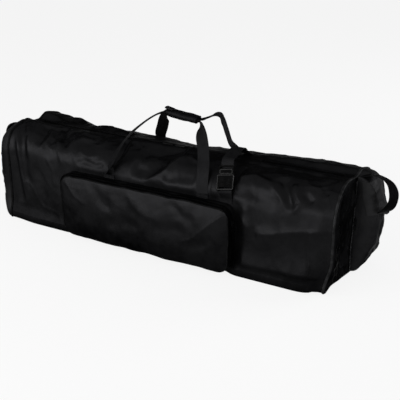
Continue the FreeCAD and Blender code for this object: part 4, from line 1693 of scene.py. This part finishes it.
@dataclass
class Pocket:
    """The raised pocket on the front: gusset, zip, side band, soft face and piping."""

    mid_y: float = 21.5 * MM
    left: float = -336 * MM
    right: float = 281 * MM
    bottom: float = 19 * MM
    top: float = 222 * MM
    corner: float = 34 * MM
    left_corner: float = 42 * MM
    drawn_in: float = 15 * MM
    wall_y: float = -150 * MM
    split_y: float = -176 * MM
    face_y: float = -195 * MM
    gap: float = 0.3 * MM
    zip_foot: float = 56 * MM
    tape_width: float = 9 * MM
    tooth_pitch: float = 2.4 * MM
    folds: tuple[Fold, ...] = (
        Fold(((262, 205), (205, 150), (165, 109), (120, 92)), 5.0, 9.0, 22.0, sharp=True,
             open_start=True),
        Fold(((240, 128), (200, 96), (150, 84)), -5.0, 16.0),
        Fold(((-300, 206), (-262, 160), (-214, 138)), 3.5, 12.0, 24.0, sharp=True,
             open_start=True),
        Fold(((-310, 120), (-286, 92), (-230, 84)), -3.0, 22.0),
        Fold(((-190, 214), (-168, 170), (-120, 140)), -5.0, 14.0, 24.0, open_start=True),
        Fold(((-60, 216), (-36, 176), (10, 150), (80, 146)), 4.0, 12.0, 26.0),
        Fold(((100, 214), (128, 176), (176, 160)), -4.5, 15.0, open_start=True),
        Fold(((-280, 40), (-190, 66), (-60, 60), (60, 70), (190, 50)), 4.0, 22.0),
        Fold(((30, 110), (90, 124), (150, 128)), -4.0, 20.0),
        Fold(((-140, 96), (-70, 110), (-10, 104)), -4.0, 20.0),
    )
    rumples: tuple[Rumple, ...] = (Rumple(88, 51, 2.4), Rumple(40, 52, 1.2),
                                   Rumple(19, 53, 0.5, (1, 1), (-1, 1)))
    sway: tuple[Rumple, ...] = (Rumple(74, 41, 2.2, second=(0, 0.9)),
                                Rumple(31, 42, 1.3, second=(0, 1.6)))

    def build(self) -> None:
        """Make the pocket."""
        r, wide = self.corner, self.left_corner
        x0, x1, z0, z1 = self.left + wide, self.right - r, self.bottom, self.top
        middle = (np.array([[(x0 + x1) / 2, z0]]), np.array([[0.0, -1.0]]))
        self.loop = Loop([middle, arc_points((x0, z0 + wide), wide, -90, -180, 18),
                          arc_points((x0, z1 - wide), wide, 180, 90, 18),
                          arc_points((x1, z1 - r), r, 90, 0, 14),
                          arc_points((x1, z0 + r), r, 0, -90, 14), middle])
        self.band("pocket_gusset_cloth", (self.wall_y + 2 * MM, self.split_y), "case",
                  "pocket_gusset")
        self.band("pocket_side_cloth", (self.split_y - self.gap, self.face_y + 2 * MM),
                  "pocket_face", "pocket_side_band")
        face = shaped_grid("pocket_face_cloth", 150, 52,
                           (self.right - self.left - self.drawn_in, z1 - z0), self.face,
                           3 * MM)
        dress(face, POCKET_NYLON, Slot.NYLON, "pocket_face", "pocket_face")
        lining = shaped_grid("pocket_face_lining", 110, 40, (self.right - self.left, z1 - z0),
                             self.lining, 1.5 * MM)
        dress(lining, POCKET_NYLON, Slot.NYLON, "pocket_face")
        path = self.ring(np.linspace(0, self.loop.total, 460), self.face_y + 0.5 * MM, 0.2 * MM)
        dress(cord("pocket_cord", path, 2.3 * MM), SHADED_CORD, Slot.BINDING, "pocket_face",
              "pocket_piping")
        self.zip_half("inner", self.split_y, 1, "case")
        self.zip_half("outer", self.split_y - self.gap, -1, "pocket_face")

    def ring(self, t: Points, y: Points | float, grow: float) -> Points:
        """Places round the pocket, whose sides sway and whose top sags away from the wall.

        Args:
            t: lengths round its outline.
            y: depths.
            grow: how far outside the outline.

        Returns:
            The places.
        """
        y = np.broadcast_to(np.asarray(y, float), t.shape)
        depth = (self.wall_y - y) / (30 * MM)
        sway = relief_of(self.sway, t / MM, np.abs(depth) * 30) - 1.2
        place, out = self.loop.at(t)
        x, z = (place + out * (grow + sway * smooth_step(np.abs(depth) + 0.15) * MM)[:, None]).T
        sag = smooth_step((z - 0.15) / 0.07) * (1 + lumps(t / MM, 0 * t, 95, 43))
        drawn = smooth_step((self.split_y - y) / (17 * MM)) * smooth_step((-0.23 - x) / 0.06)
        return np.stack([x + self.drawn_in * drawn, y + self.mid_y,
                         z - 2.0 * MM * sag * smooth_step(depth)], 1)

    def band(self, name: str, ys: Pair, body: str, node: str) -> None:
        """A band of cloth round the pocket.

        Args:
            name: the piece's name.
            ys: the depths of its inner and its outer edge.
            body: what it rides on.
            node: the node that it stands for.
        """
        total, width = self.loop.total, ys[0] - ys[1]
        piece = shaped_grid(name, 420, 8, (total, width),
                            lambda u, v: self.ring(u * total, ys[1] + width * v, 0.0))
        Bench.seal(piece, SEAM)
        Bench.modify(piece, "SOLIDIFY", thickness=2.5 * MM, offset=-1.0)
        Bench.smooth(piece, 50.0)
        dress(piece, POCKET_NYLON, Slot.NYLON, body, node)

    def outline(self, x: Points, u: Points, margin: float = 0.0) -> Points:
        """How far the rounded corners cut into the face's height.

        Args:
            x: places along the face.
            u: shares of its length.
            margin: how far inside the face's edge.

        Returns:
            The cuts, the same at its foot and its top.
        """
        r = np.where(u < 0.5, self.left_corner, self.corner)
        left = self.left + self.drawn_in
        inset = np.maximum(np.maximum(left + r - x, x - self.right + r), 0)
        return margin + r - np.sqrt(np.clip(r * r - inset * inset, 0, None))

    def hung(self, x: Points, y: Points, z: Points) -> Points:
        """Places of the face's cloth, sagging a little at the top."""
        return np.stack([x, y + self.mid_y, z - 2.2 * MM * smooth_step((z - 0.15) / 0.07)], 1)

    def face(self, u: Points, v: Points) -> Points:
        """The soft face, fullest in its middle.

        Args:
            u: shares of its length, which are crowded towards its ends.
            v: shares of its height.

        Returns:
            The places.
        """
        left, crowd = self.left + self.drawn_in, 0.12
        bunched = np.cos(np.pi * (crowd + (1 - 2 * crowd) * u)) / np.cos(np.pi * crowd)
        x = left + (self.right - left) * (0.5 - 0.5 * bunched)
        cut = self.outline(x, u)
        z = self.bottom + cut + (self.top - self.bottom - 2 * cut) * v
        edge = np.minimum(np.minimum(x - left, self.right - x),
                          np.minimum(z - self.bottom, self.top - z) - cut * 0.6)
        edge = np.clip(edge, 0, None)
        puff = 7.5 * MM * (1 - np.exp(-edge / (26 * MM)))
        puff += 6.5 * MM * np.sin(np.pi * v ** 0.85) * np.sin(np.pi * u) ** 0.5
        rough = relief_of(self.folds + self.rumples, x / MM, z / MM) * MM
        rough *= (0.45 + 0.55 * smooth_step(v / 0.6)) * smooth_step(edge / (30 * MM))
        return self.hung(x, self.face_y - puff - rough, z)

    def lining(self, u: Points, v: Points) -> Points:
        """Flat backing inside the face, which is what shows when the face lies open.

        Args:
            u: shares of its length.
            v: shares of its height.

        Returns:
            The places.
        """
        margin, left = 1.5 * MM, self.left + self.drawn_in
        x = left + margin + (self.right - left - 2 * margin) * u
        cut = self.outline(x, u, margin)
        z = self.bottom + cut + (self.top - self.bottom - 2 * cut) * v
        wave = lumps(x / MM, z / MM, 46, 57) * 0.9 * MM
        return self.hung(x, self.face_y + 4.5 * MM + wave, z)

    def zip_half(self, word: str, edge_y: float, way: int, body: str) -> None:
        """Half of the pocket's zip: its tape and its teeth.

        Args:
            word: inner or outer, for the pieces' names.
            edge_y: the depth of the tape's edge by the teeth.
            way: 1 towards the wall, -1 away from it.
            body: what it rides on.
        """
        t = np.linspace(0, self.loop.total, 2400)
        start, end = t[self.loop.at(t)[0][:, 1] > self.zip_foot][[0, -1]]
        size = (end - start, self.tape_width)
        tape = shaped_grid(
            f"pocket_tape_{word}", 330, 3, size,
            lambda u, v: self.ring(start + size[0] * u, edge_y + way * size[1] * v, 0.9 * MM),
            0.8 * MM, 0.0)
        dress(tape, TAPE_CLOTH, Slot.ZIP_TAPE, body, f"pocket_zip_{word}")
        stops = np.arange(start + 2 * MM, end - 2 * MM, self.tooth_pitch)
        stops += way * self.tooth_pitch / 4
        places, ahead = (self.ring(stops + step, edge_y + way * 1.6 * MM, 1.9 * MM)
                         for step in (0.0, 1 * MM))
        ups = np.insert(self.loop.at(stops)[1], 1, 0.0, axis=1)
        dress(TOOTH.copies(f"pocket_teeth_{word}", places, ahead - places, ups), COIL,
              Slot.ZIP_METAL, body)


@dataclass(frozen=True)
class Leg:
    """One leg of a carry handle, from its foot on the wall to the grip.

    Each station after the foot gives shares of the way along X, across Y and up, then the
    share of its quarter twist and of its full width.
    """

    foot_x: float
    side: Side
    stations: tuple[tuple[float, float, float, float, float], ...]


@dataclass
class Handles:
    """The two carry handles and the padded grip that holds them together."""

    skin: Skin
    grip: Triple = (0.020, 0.0, 0.412)
    reach: float = 59 * MM
    half_reach: float = 56 * MM
    tilt: float = math.radians(6.3)
    pad: float = 1.5 * MM
    width: float = 38 * MM
    folded: float = 16 * MM
    thickness: float = 1.8 * MM
    corner: float = 9 * MM
    grip_depth: float = 40 * MM
    grip_height: float = 24 * MM
    # Foot and top of the webbing that is sewn to each wall
    sewn_from: Pair = (222.3 * MM, 27 * MM)
    sewn_to: float = 235.1 * MM
    foot: tuple[float, float, float, float, float] = (0.0, 0.0, 0.0, 0.0, 1.0)
    legs: tuple[Leg, ...] = (
        Leg(-0.160, Side.FRONT,
            ((0.02, -0.05, 0.05, 0.6, 1.0), (0.05, -0.09, 0.12, 1.3, 1.0),
             (0.10, 0.0, 0.24, 1.52, 1.0), (0.19, 0.10, 0.40, 1.46, 1.0),
             (0.31, 0.27, 0.585, 1.34, 1.0), (0.44, 0.43, 0.725, 1.34, 0.9),
             (0.73, 0.70, 0.92, 1.2, 0.75), (0.90, 0.90, 0.99, 1.0, 0.55))),
        Leg(0.173, Side.FRONT,
            ((0.05, 0.06, 0.20, 0.0, 1.0), (0.10, 0.155, 0.37, 0.0, 1.0),
             (0.22, 0.31, 0.51, 0.05, 1.0), (0.37, 0.47, 0.68, 0.1, 1.0),
             (0.60, 0.66, 0.845, 0.2, 1.0), (0.83, 0.87, 0.976, 0.6, 0.75))),
        Leg(-0.160, Side.REAR,
            ((0.06, 0.085, 0.19, 0.0, 1.0), (0.135, 0.21, 0.33, 0.0, 1.0),
             (0.40, 0.47, 0.56, 0.0, 1.0), (0.62, 0.68, 0.76, 0.1, 0.95),
             (0.86, 0.88, 0.93, 0.6, 0.7))),
        Leg(0.173, Side.REAR,
            ((0.05, -0.04, 0.07, 0.6, 0.9), (0.20, -0.048, 0.16, 1.15, 0.72),
             (0.40, 0.08, 0.30, 1.15, 0.9), (0.50, 0.22, 0.42, 1.15, 1.0),
             (0.52, 0.41, 0.68, 1.15, 1.0), (0.50, 0.62, 0.93, 1.15, 0.95),
             (0.50, 0.80, 1.07, 1.1, 0.75), (0.60, 0.90, 1.09, 1.0, 0.65),
             (0.82, 0.97, 1.04, 1.0, 0.5))),
    )

    def build(self) -> None:
        """Make handles, sewn straps and grip."""
        for side in Side:
            left, right = (leg for leg in self.legs if leg.side is side)
            self.webbing(side, left, right)
            self.grip_half(side)
            for word, leg in (("left", left), ("right", right)):
                self.sewn(side, word, leg.foot_x)

    def grip_end(self, side: Side, way: int) -> Points:
        """Where one handle's webbing enters the grip.

        Args:
            side: front or rear.
            way: -1 at the grip's left, 1 at its right.

        Returns:
            The place, from the case's middle plane.
        """
        reach = way * self.reach
        return np.array([self.grip[0] + reach * math.cos(self.tilt), side.value * 10 * MM,
                         self.grip[2] - reach * math.sin(self.tilt)])

    def off_cloth(self, center: Points) -> Points:
        """Move a place of a strap's middle out of the rounded shoulder.

        Args:
            center: the place, from the case's middle plane.

        Returns:
            The place, moved if it lay too near.
        """
        corner_y = self.skin.half - self.skin.corner
        out, up = abs(center[1]) - corner_y, center[2] - self.skin.shoulder
        least = self.skin.corner + self.pad + 1.2 * MM
        reach = math.hypot(out, up)
        if out < 0 or up < 0.3 * MM or reach >= least:
            return center
        y = corner_y + out * least / reach
        return np.array([center[0], math.copysign(y, center[1]),
                         self.skin.shoulder + up * least / reach])

    def leg(self, leg: Leg) -> tuple[list, list, list]:
        """Lay one leg out.

        Args:
            leg: the leg.

        Returns:
            Middles, lays and widths of its stations.
        """
        sign = leg.side.value
        foot = np.array([leg.foot_x, sign * (self.skin.half + self.pad),
                         self.skin.shoulder + 0.3 * MM])
        rise = self.grip_end(leg.side, 1 if leg.foot_x > self.grip[0] else -1) - foot
        centers, lays, widths = [], [], []
        for *shares, twist, width in (self.foot, *leg.stations):
            turn = twist * math.pi / 2
            centers.append(self.off_cloth(foot + rise * np.array(shares)))
            lays.append(np.array([math.cos(turn),
                                  math.copysign(sign * math.sin(turn), -sign * rise[0]), 0.0]))
            widths.append(self.width * width)
        return centers, lays, widths

    def webbing(self, side: Side, left: Leg, right: Leg) -> None:
        """One handle from foot to foot through the grip.

        Args:
            side: front or rear.
            left: its left leg.
            right: its right leg.
        """
        lc, ll, lw = self.leg(left)
        rc, rl, rw = self.leg(right)
        if np.dot(ll[-1], rl[-1]) < 0:
            rl = [-lay for lay in rl]
        centers = lc + [self.grip_end(side, way) for way in (-1, 1)] + rc[::-1]
        lays = ll + [ll[-1]] * 2 + rl[::-1]
        widths = lw + [self.folded] * 2 + rw[::-1]
        cupped = [max(0.0, 1 - width / self.width) * 9 * MM for width in widths]
        band = Band(np.array(centers) + (0, self.skin.mid_y, 0), lays, widths, self.thickness,
                    cupped)
        dress(band.build(f"{side.word}_carry_handle", 4 * MM, 10), WEBBING, Slot.WEBBING,
              f"{side.word}_handle", f"{side.word}_handle")

    def sewn(self, side: Side, place: str, x: float) -> None:
        """The part of the webbing that is sewn to the wall.

        Args:
            side: front or rear.
            place: left or right.
            x: its middle along the case.
        """
        node = f"{side.word}_strap_{place}"
        low, count = (self.sewn_from[0], 5) if side is Side.FRONT else (self.sewn_from[1], 40)
        s = np.linspace(*(self.skin.s_of_wall(z, side) for z in (low, self.sewn_to)), count)
        band = Band(self.skin.at(x, s, self.pad), [(1, 0, 0)] * count)
        dress(band.build(f"{node}_webbing"), WEBBING, Slot.WEBBING, "case", node)

    def grip_half(self, side: Side) -> None:
        """Half of the padded wrap round the handles.

        Args:
            side: front or rear.
        """
        depth, shrink = self.grip_depth / 2 - 0.3 * MM, 1.2 * MM
        tall, reach = self.grip_height / 2 - shrink, self.half_reach - shrink
        piece = Bench.block(f"{side.word}_grip_wrap", (-reach, 0.3 * MM, -tall),
                            (reach, depth - shrink, tall))
        Bench.bevel(piece, self.corner - 1 * MM, 5,
                    lambda a, b: min(a.y, b.y) > depth / 2 and abs(a.x - b.x) > depth)
        Bench.modify(piece, "REMESH", mode="VOXEL", voxel_size=3.2 * MM)
        self.plump(piece)
        Bench.modify(piece, "SUBSURF", levels=1, render_levels=1)
        self.crease(piece)
        turn = Matrix.Rotation(math.pi, 4, "Z") if side is Side.FRONT else Matrix()
        place = Matrix.Translation((self.grip[0], self.skin.mid_y, self.grip[2]))
        piece.data.transform(place @ Matrix.Rotation(self.tilt, 4, "Y") @ turn)
        Bench.smooth(piece, 60.0)
        dress(piece, WRAP, Slot.PADDED, f"{side.word}_handle", f"{side.word}_grip_half")
        if side is Side.FRONT:
            self.tab()

    @staticmethod
    def plump(piece: Piece) -> None:
        """Fill the wrap by cloth simulation, and cap how far it swells.

        Args:
            piece: half of the wrap.
        """
        before, most, scene = places_of(piece), 1.6 * MM, bpy.context.scene
        cloth = piece.modifiers.new("fill", "CLOTH")
        cloth.settings.use_pressure = True
        cloth.settings.uniform_pressure_force = 4.0
        cloth.settings.effector_weights.gravity = 0.0
        for frame in range(1, 21):
            scene.frame_set(frame)
        Bench.only(piece)
        bpy.ops.object.modifier_apply(modifier=cloth.name)
        scene.frame_set(1)
        move = places_of(piece) - before
        size = np.linalg.norm(move, axis=1)[:, None]
        held = before + move * np.minimum(1.0, most / np.maximum(size, 1e-9))
        held[:, 1] = np.maximum(held[:, 1], 0.2 * MM)
        put(piece, held)

    @staticmethod
    def crease(piece: Piece) -> None:
        """Dent the wrap softly and hem its ends.

        Args:
            piece: half of the wrap.
        """
        flat = places_of(piece)
        x, y, z = flat.T / MM
        dent = lumps(x, z * 1.4 + y, 26, 61) * 0.9 + lumps(x * 1.5, z + y, 11, 62) * 0.45
        hem = bell(np.abs(x) - 49, 1.6) * 1.1
        flat *= 1 + (dent - hem)[:, None] / 14 * np.array([0.0, 0.6, 1.0])
        flat[:, 1] = np.maximum(flat[:, 1], 0.2 * MM)
        put(piece, flat)

    def tab(self) -> None:
        """Pull tab at the left end of the wrap's closing edge."""
        size = (27 * MM, 18 * MM)
        cos, sin = math.cos(self.tilt), math.sin(self.tilt)

        def shape(u: Points, v: Points) -> Points:
            """Places of the tab.

            Args:
                u: shares of its length.
                v: shares of its width.

            Returns:
                The places.
            """
            x = u * size[0] - self.half_reach - 2 * MM
            z = self.grip_height / 2 + (4.6 - u * 2.4 + 0.8 * np.sin(v * 3)) * MM
            return np.stack([self.grip[0] + x * cos + z * sin,
                             self.skin.mid_y - 0.5 * MM - v * size[1],
                             self.grip[2] - x * sin + z * cos], 1)

        piece = shaped_grid("grip_tab", 10, 8, size, shape, 5 * MM, 0.0)
        Bench.bevel(piece, 1 * MM)
        dress(piece, BINDING, Slot.PADDED, "front_handle")


@dataclass
class TopStrap:
    """The strap over the case with its side release buckle."""

    skin: Skin
    nodes: dict[str, Piece]
    strap_x: float = 252 * MM
    strap_foot: float = 222.3 * MM
    landing_x: float = 225 * MM
    landing_y: float = 62 * MM
    rear_foot: float = 110 * MM
    foot: Triple = (0.252, -0.1565, 0.262)
    lean: Triple = (-16.0, 40.0, 78.0)
    socket: float = 46 * MM
    plug: float = 26 * MM
    pad: float = 1.5 * MM
    slack: float = 19 * MM
    # Shares of the way from the buckle to the top, and of the slack's height there
    shares: Line = ((0.13, 0.50), (0.30, 1.15), (0.47, 1.45), (0.63, 0.60), (0.82, 0.08))
    rib_heights: Triple = (14.0, 23.0, 32.0)

    def build(self) -> None:
        """Make the three lengths of strap and finish the buckle."""
        skin, foot, across = self.skin, np.array(self.foot), np.array([1.0, 0, 0])
        shift = np.array([0, skin.mid_y, 0])
        along = np.array(self.lean) / np.linalg.norm(self.lean)
        width = across - along * along[0]
        width /= np.linalg.norm(width)
        back = np.cross(along, width)
        wall = [(self.strap_x, -skin.half - self.pad, z) for z in (self.strap_foot,
                                                                  skin.shoulder)]
        self.strap("lower_strap", [*np.array(wall), foot - along * 4.8 * MM,
                                   foot - along * 0.3 * MM] + shift,
                   [across, across, width, width])
        tip, top = (foot + along * (self.socket + reach) + back * 5.2 * MM
                    for reach in (self.plug / 2, self.plug + 19 * MM))
        s = skin.s_of_crown(self.landing_y)
        landing = skin.at(self.landing_x, [s - 5 * MM, s], self.pad) - shift
        arch = [top + (landing[1] - top) * way + (0, 0, self.slack * lift)
                for way, lift in self.shares]
        self.strap("slack_strap", np.array([tip, top, *arch, *landing]) + shift,
                   [width] * 2 + [across] * (len(arch) + 2))
        ss = np.linspace(s + 0.3 * MM, skin.s_of_wall(self.rear_foot, Side.REAR), 60)
        self.strap("rear_web", skin.at(self.landing_x, ss, self.pad), [across] * 60)
        for name in ("socket", "plug", "prong_left", "prong_right"):
            finish_node(self.nodes[f"buckle_{name}"], PLASTIC)
        turn = Matrix([[*row] for row in np.stack([width, back, along], 1)]).to_4x4()
        place = Matrix.Translation(foot + shift) @ turn
        self.moulding("buckle_socket_rim", "case", place, 24.5, 6.0, (2.5, 43.5))
        self.moulding("buckle_plug_rim", "buckle_plug", place, 19.0, 3.7, (48.5, 60.0))
        self.ribs(place)

    def moulding(self, name: str, body: str, place: Matrix, half: float, face: float,
                 reach: Pair) -> None:
        """Polished rim moulded round the front of one part of the buckle.

        Args:
            name: the piece's name.
            body: what it rides on.
            place: where the buckle is.
            half: half its width, in millimetres.
            face: how far the part's front stands out, in millimetres.
            reach: where it starts and ends along the buckle, in millimetres.
        """
        corner = 3.0
        low, high, edge = reach[0] + corner, reach[1] - corner, half - corner
        arcs = [arc_points((x, z), corner, turn, turn + 90, 8)[0] for x, z, turn in (
            (edge, high, 0), (-edge, high, 90), (-edge, low, 180), (edge, low, 270))]
        flat = np.concatenate([*arcs, arcs[0][:1]]) * MM
        piece = cord(name, np.insert(flat, 1, -(face + 0.2) * MM, axis=1), 1.5 * MM)
        piece.data.transform(place)
        Bench.smooth(piece, 35.0)
        dress(piece, GLOSS, Slot.PLASTIC, body)

    def ribs(self, place: Matrix) -> None:
        """Grip ribs across the front of the socket.

        Args:
            place: where the buckle is.
        """
        made = []
        for height in self.rib_heights:
            made.append(Bench.block("rib", (-17 * MM, -7.1 * MM, (height - 1.3) * MM),
                                    (17 * MM, -5.7 * MM, (height + 1.3) * MM)))
            Bench.bevel(made[-1], 0.65 * MM, 4)
        Bench.only(*made)
        bpy.ops.object.join()
        piece = Bench.named("buckle_ribs")
        piece.data.transform(place)
        Bench.smooth(piece, 35.0)
        dress(piece, PLASTIC, Slot.PLASTIC, "case")

    @staticmethod
    def strap(node: str, centers: Points, lays: list) -> None:
        """One length of strap that stands for a node, through stations with their lays."""
        piece = Band(centers, lays, curl=0.4 * MM).build(f"{node}_webbing", 3.5 * MM)
        dress(piece, WEBBING, Slot.WEBBING, "case", node)


@dataclass
class Fittings:
    """Sliders and pulls, which are kept as packed, and the base board."""

    nodes: dict[str, Piece]
    places: tuple[str, ...] = ("main_{}_left", "main_{}_right", "left_end_{}", "right_end_{}",
                               "pocket_{}")
    board_low: Triple = (-0.495, -0.1025, 0.0034)
    board_high: Triple = (0.495, 0.1455, 0.0076)
    board_corner: float = 24 * MM

    def build(self) -> None:
        """Finish the pieces."""
        for kind in ("slider", "pull"):
            for place in self.places:
                finish_node(self.nodes[place.format(kind)], SLIDER)
        self.board()

    def board(self) -> None:
        """Stiff board on the floor of the case, with rounded corners and eased edges."""
        piece = Bench.block("base_board_sheet", self.board_low, self.board_high)
        Bench.bevel(piece, self.board_corner, 6, lambda a, b: abs(a.z - b.z) > 1 * MM)
        Bench.bevel(piece, 0.8 * MM, 2, lambda a, b: abs(a.z - b.z) < 0.1 * MM)
        Bench.smooth(piece, 40.0)
        dress(piece, PLASTIC, Slot.BOARD, "case", "base_board")


@dataclass
class Studio:
    """Camera, lamps, floor and world."""

    place: Triple = (1.17609, -1.90252, 1.03472)
    forward: Triple = (-0.45953, 0.80594, -0.37321)
    up: Triple = (-0.18486, 0.32421, 0.92775)
    lens: float = 67.566
    aim: Triple = (0.0, 0.0, 0.2)
    # Each soft box: name, place, width and height in metres, power in watts
    boxes: tuple[tuple[str, Triple, Pair, float], ...] = (
        ("front_box", (-1.5, -3.0, 1.0), (3.4, 1.7), 100.0),
        ("right_box", (2.7, 2.2, 1.0), (2.2, 1.4), 60.0),
        ("key", (2.4, -2.6, 1.3), (1.2, 1.2), 16.0))
    world_light: float = 0.42
    behind: float = 0.1
    dim_from: Pair = (0.5, 0.8)
    floor_white: float = 0.85

    def build(self) -> None:
        """Set up the studio."""
        self.camera()
        for box in self.boxes:
            self.lamp(*box)
        self.floor()
        self.world()
        bpy.context.scene.view_settings.view_transform = "Standard"

    @staticmethod
    def stand(name: str, data: bpy.types.ID) -> Piece:
        """Put a new object in the scene.

        Args:
            name: its name.
            data: what it shows.

        Returns:
            The object.
        """
        made = bpy.data.objects.new(name, data)
        bpy.context.scene.collection.objects.link(made)
        return made

    def camera(self) -> None:
        """The photograph's camera."""
        data = bpy.data.cameras.new("camera")
        data.lens, data.sensor_width, data.clip_end = self.lens, 36.0, 100.0
        camera = self.stand("camera", data)
        forward = Vector(self.forward).normalized()
        right = forward.cross(Vector(self.up)).normalized()
        frame = Matrix((right, right.cross(forward), -forward)).transposed().to_4x4()
        camera.matrix_world = Matrix.Translation(self.place) @ frame
        bpy.context.scene.camera = camera

    def lamp(self, name: str, place: Triple, size: Pair, power: float) -> None:
        """A soft box that faces the case.

        Args:
            name: the lamp's name.
            place: where it stands.
            size: its width and height in metres.
            power: its power in watts.
        """
        data = bpy.data.lights.new(name, "AREA")
        data.shape, data.energy = "RECTANGLE", power
        data.size, data.size_y = size
        lamp = self.stand(name, data)
        lamp.location = place
        way = Vector(self.aim) - Vector(place)
        lamp.rotation_euler = way.to_track_quat("-Z", "Y").to_euler()

    @staticmethod
    def rays(recipe: Recipe) -> tuple[Shade, Shade]:
        """1 for camera rays, and 1 for glossy and transmission rays."""
        path = recipe.node("ShaderNodeLightPath").output("Is Camera Ray")
        return path, path.output("Is Glossy Ray") + path.output("Is Transmission Ray")

    def floor(self) -> None:
        """A plain pale floor that keeps the shadow."""
        Bench.only()
        bpy.ops.mesh.primitive_plane_add(size=60.0, location=(0, 0, 0))
        floor = Bench.named("floor")
        r = Recipe(bpy.data.materials.new("pale_floor"))
        paint = r.node("ShaderNodeBsdfDiffuse", None,
                       r.tint(r.noise(r.spot(), 30.0), (0.86, 0.86), (0.9, 0.9)))
        glow = r.node("ShaderNodeEmission", None, WHITE, 1.0)
        camera, gloss = self.rays(r)
        seen = r.node("ShaderNodeClamp", None, camera + gloss, 0.0, 1.0)
        r.close("ShaderNodeOutputMaterial",
                r.node("ShaderNodeMixShader", None, seen * self.floor_white, paint, glow))
        floor.data.materials.append(r.holder)

    def world(self) -> None:
        """White to the camera; as light, a studio that is dim far behind the case."""
        world = bpy.data.worlds.new("studio_white")
        r = Recipe(world)
        away = r.split(r.node("ShaderNodeTexCoord").output("Generated"))[1]
        camera, gloss = self.rays(r)
        level = gloss * (1.0 - self.world_light) + self.world_light
        level = (1.0 - away.between(*self.dim_from) * (1.0 - self.behind)) * level
        strength = r.node("ShaderNodeClamp", None, level + camera, 0.0, 1.0)
        r.close("ShaderNodeOutputWorld", r.node("ShaderNodeBackground", None, WHITE, strength))
        bpy.context.scene.world = world


def main(frame: dict) -> None:
    """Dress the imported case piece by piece.

    Args:
        frame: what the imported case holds.
    """
    logging.basicConfig(level=logging.INFO, format="%(name)s: %(message)s")
    skin, nodes = Skin(), frame["nodes"]
    for part in (Studio(), Shell(skin), End(skin, "right", False, RIGHT_LOOP),
                 End(skin, "left", True, LEFT_LOOP), Pocket(), Handles(skin),
                 TopStrap(skin, nodes), Fittings(nodes)):
        LOG.info("building %s", type(part).__name__)
        part.build()


if __name__ == "__main__":
    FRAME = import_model()
    main(FRAME)
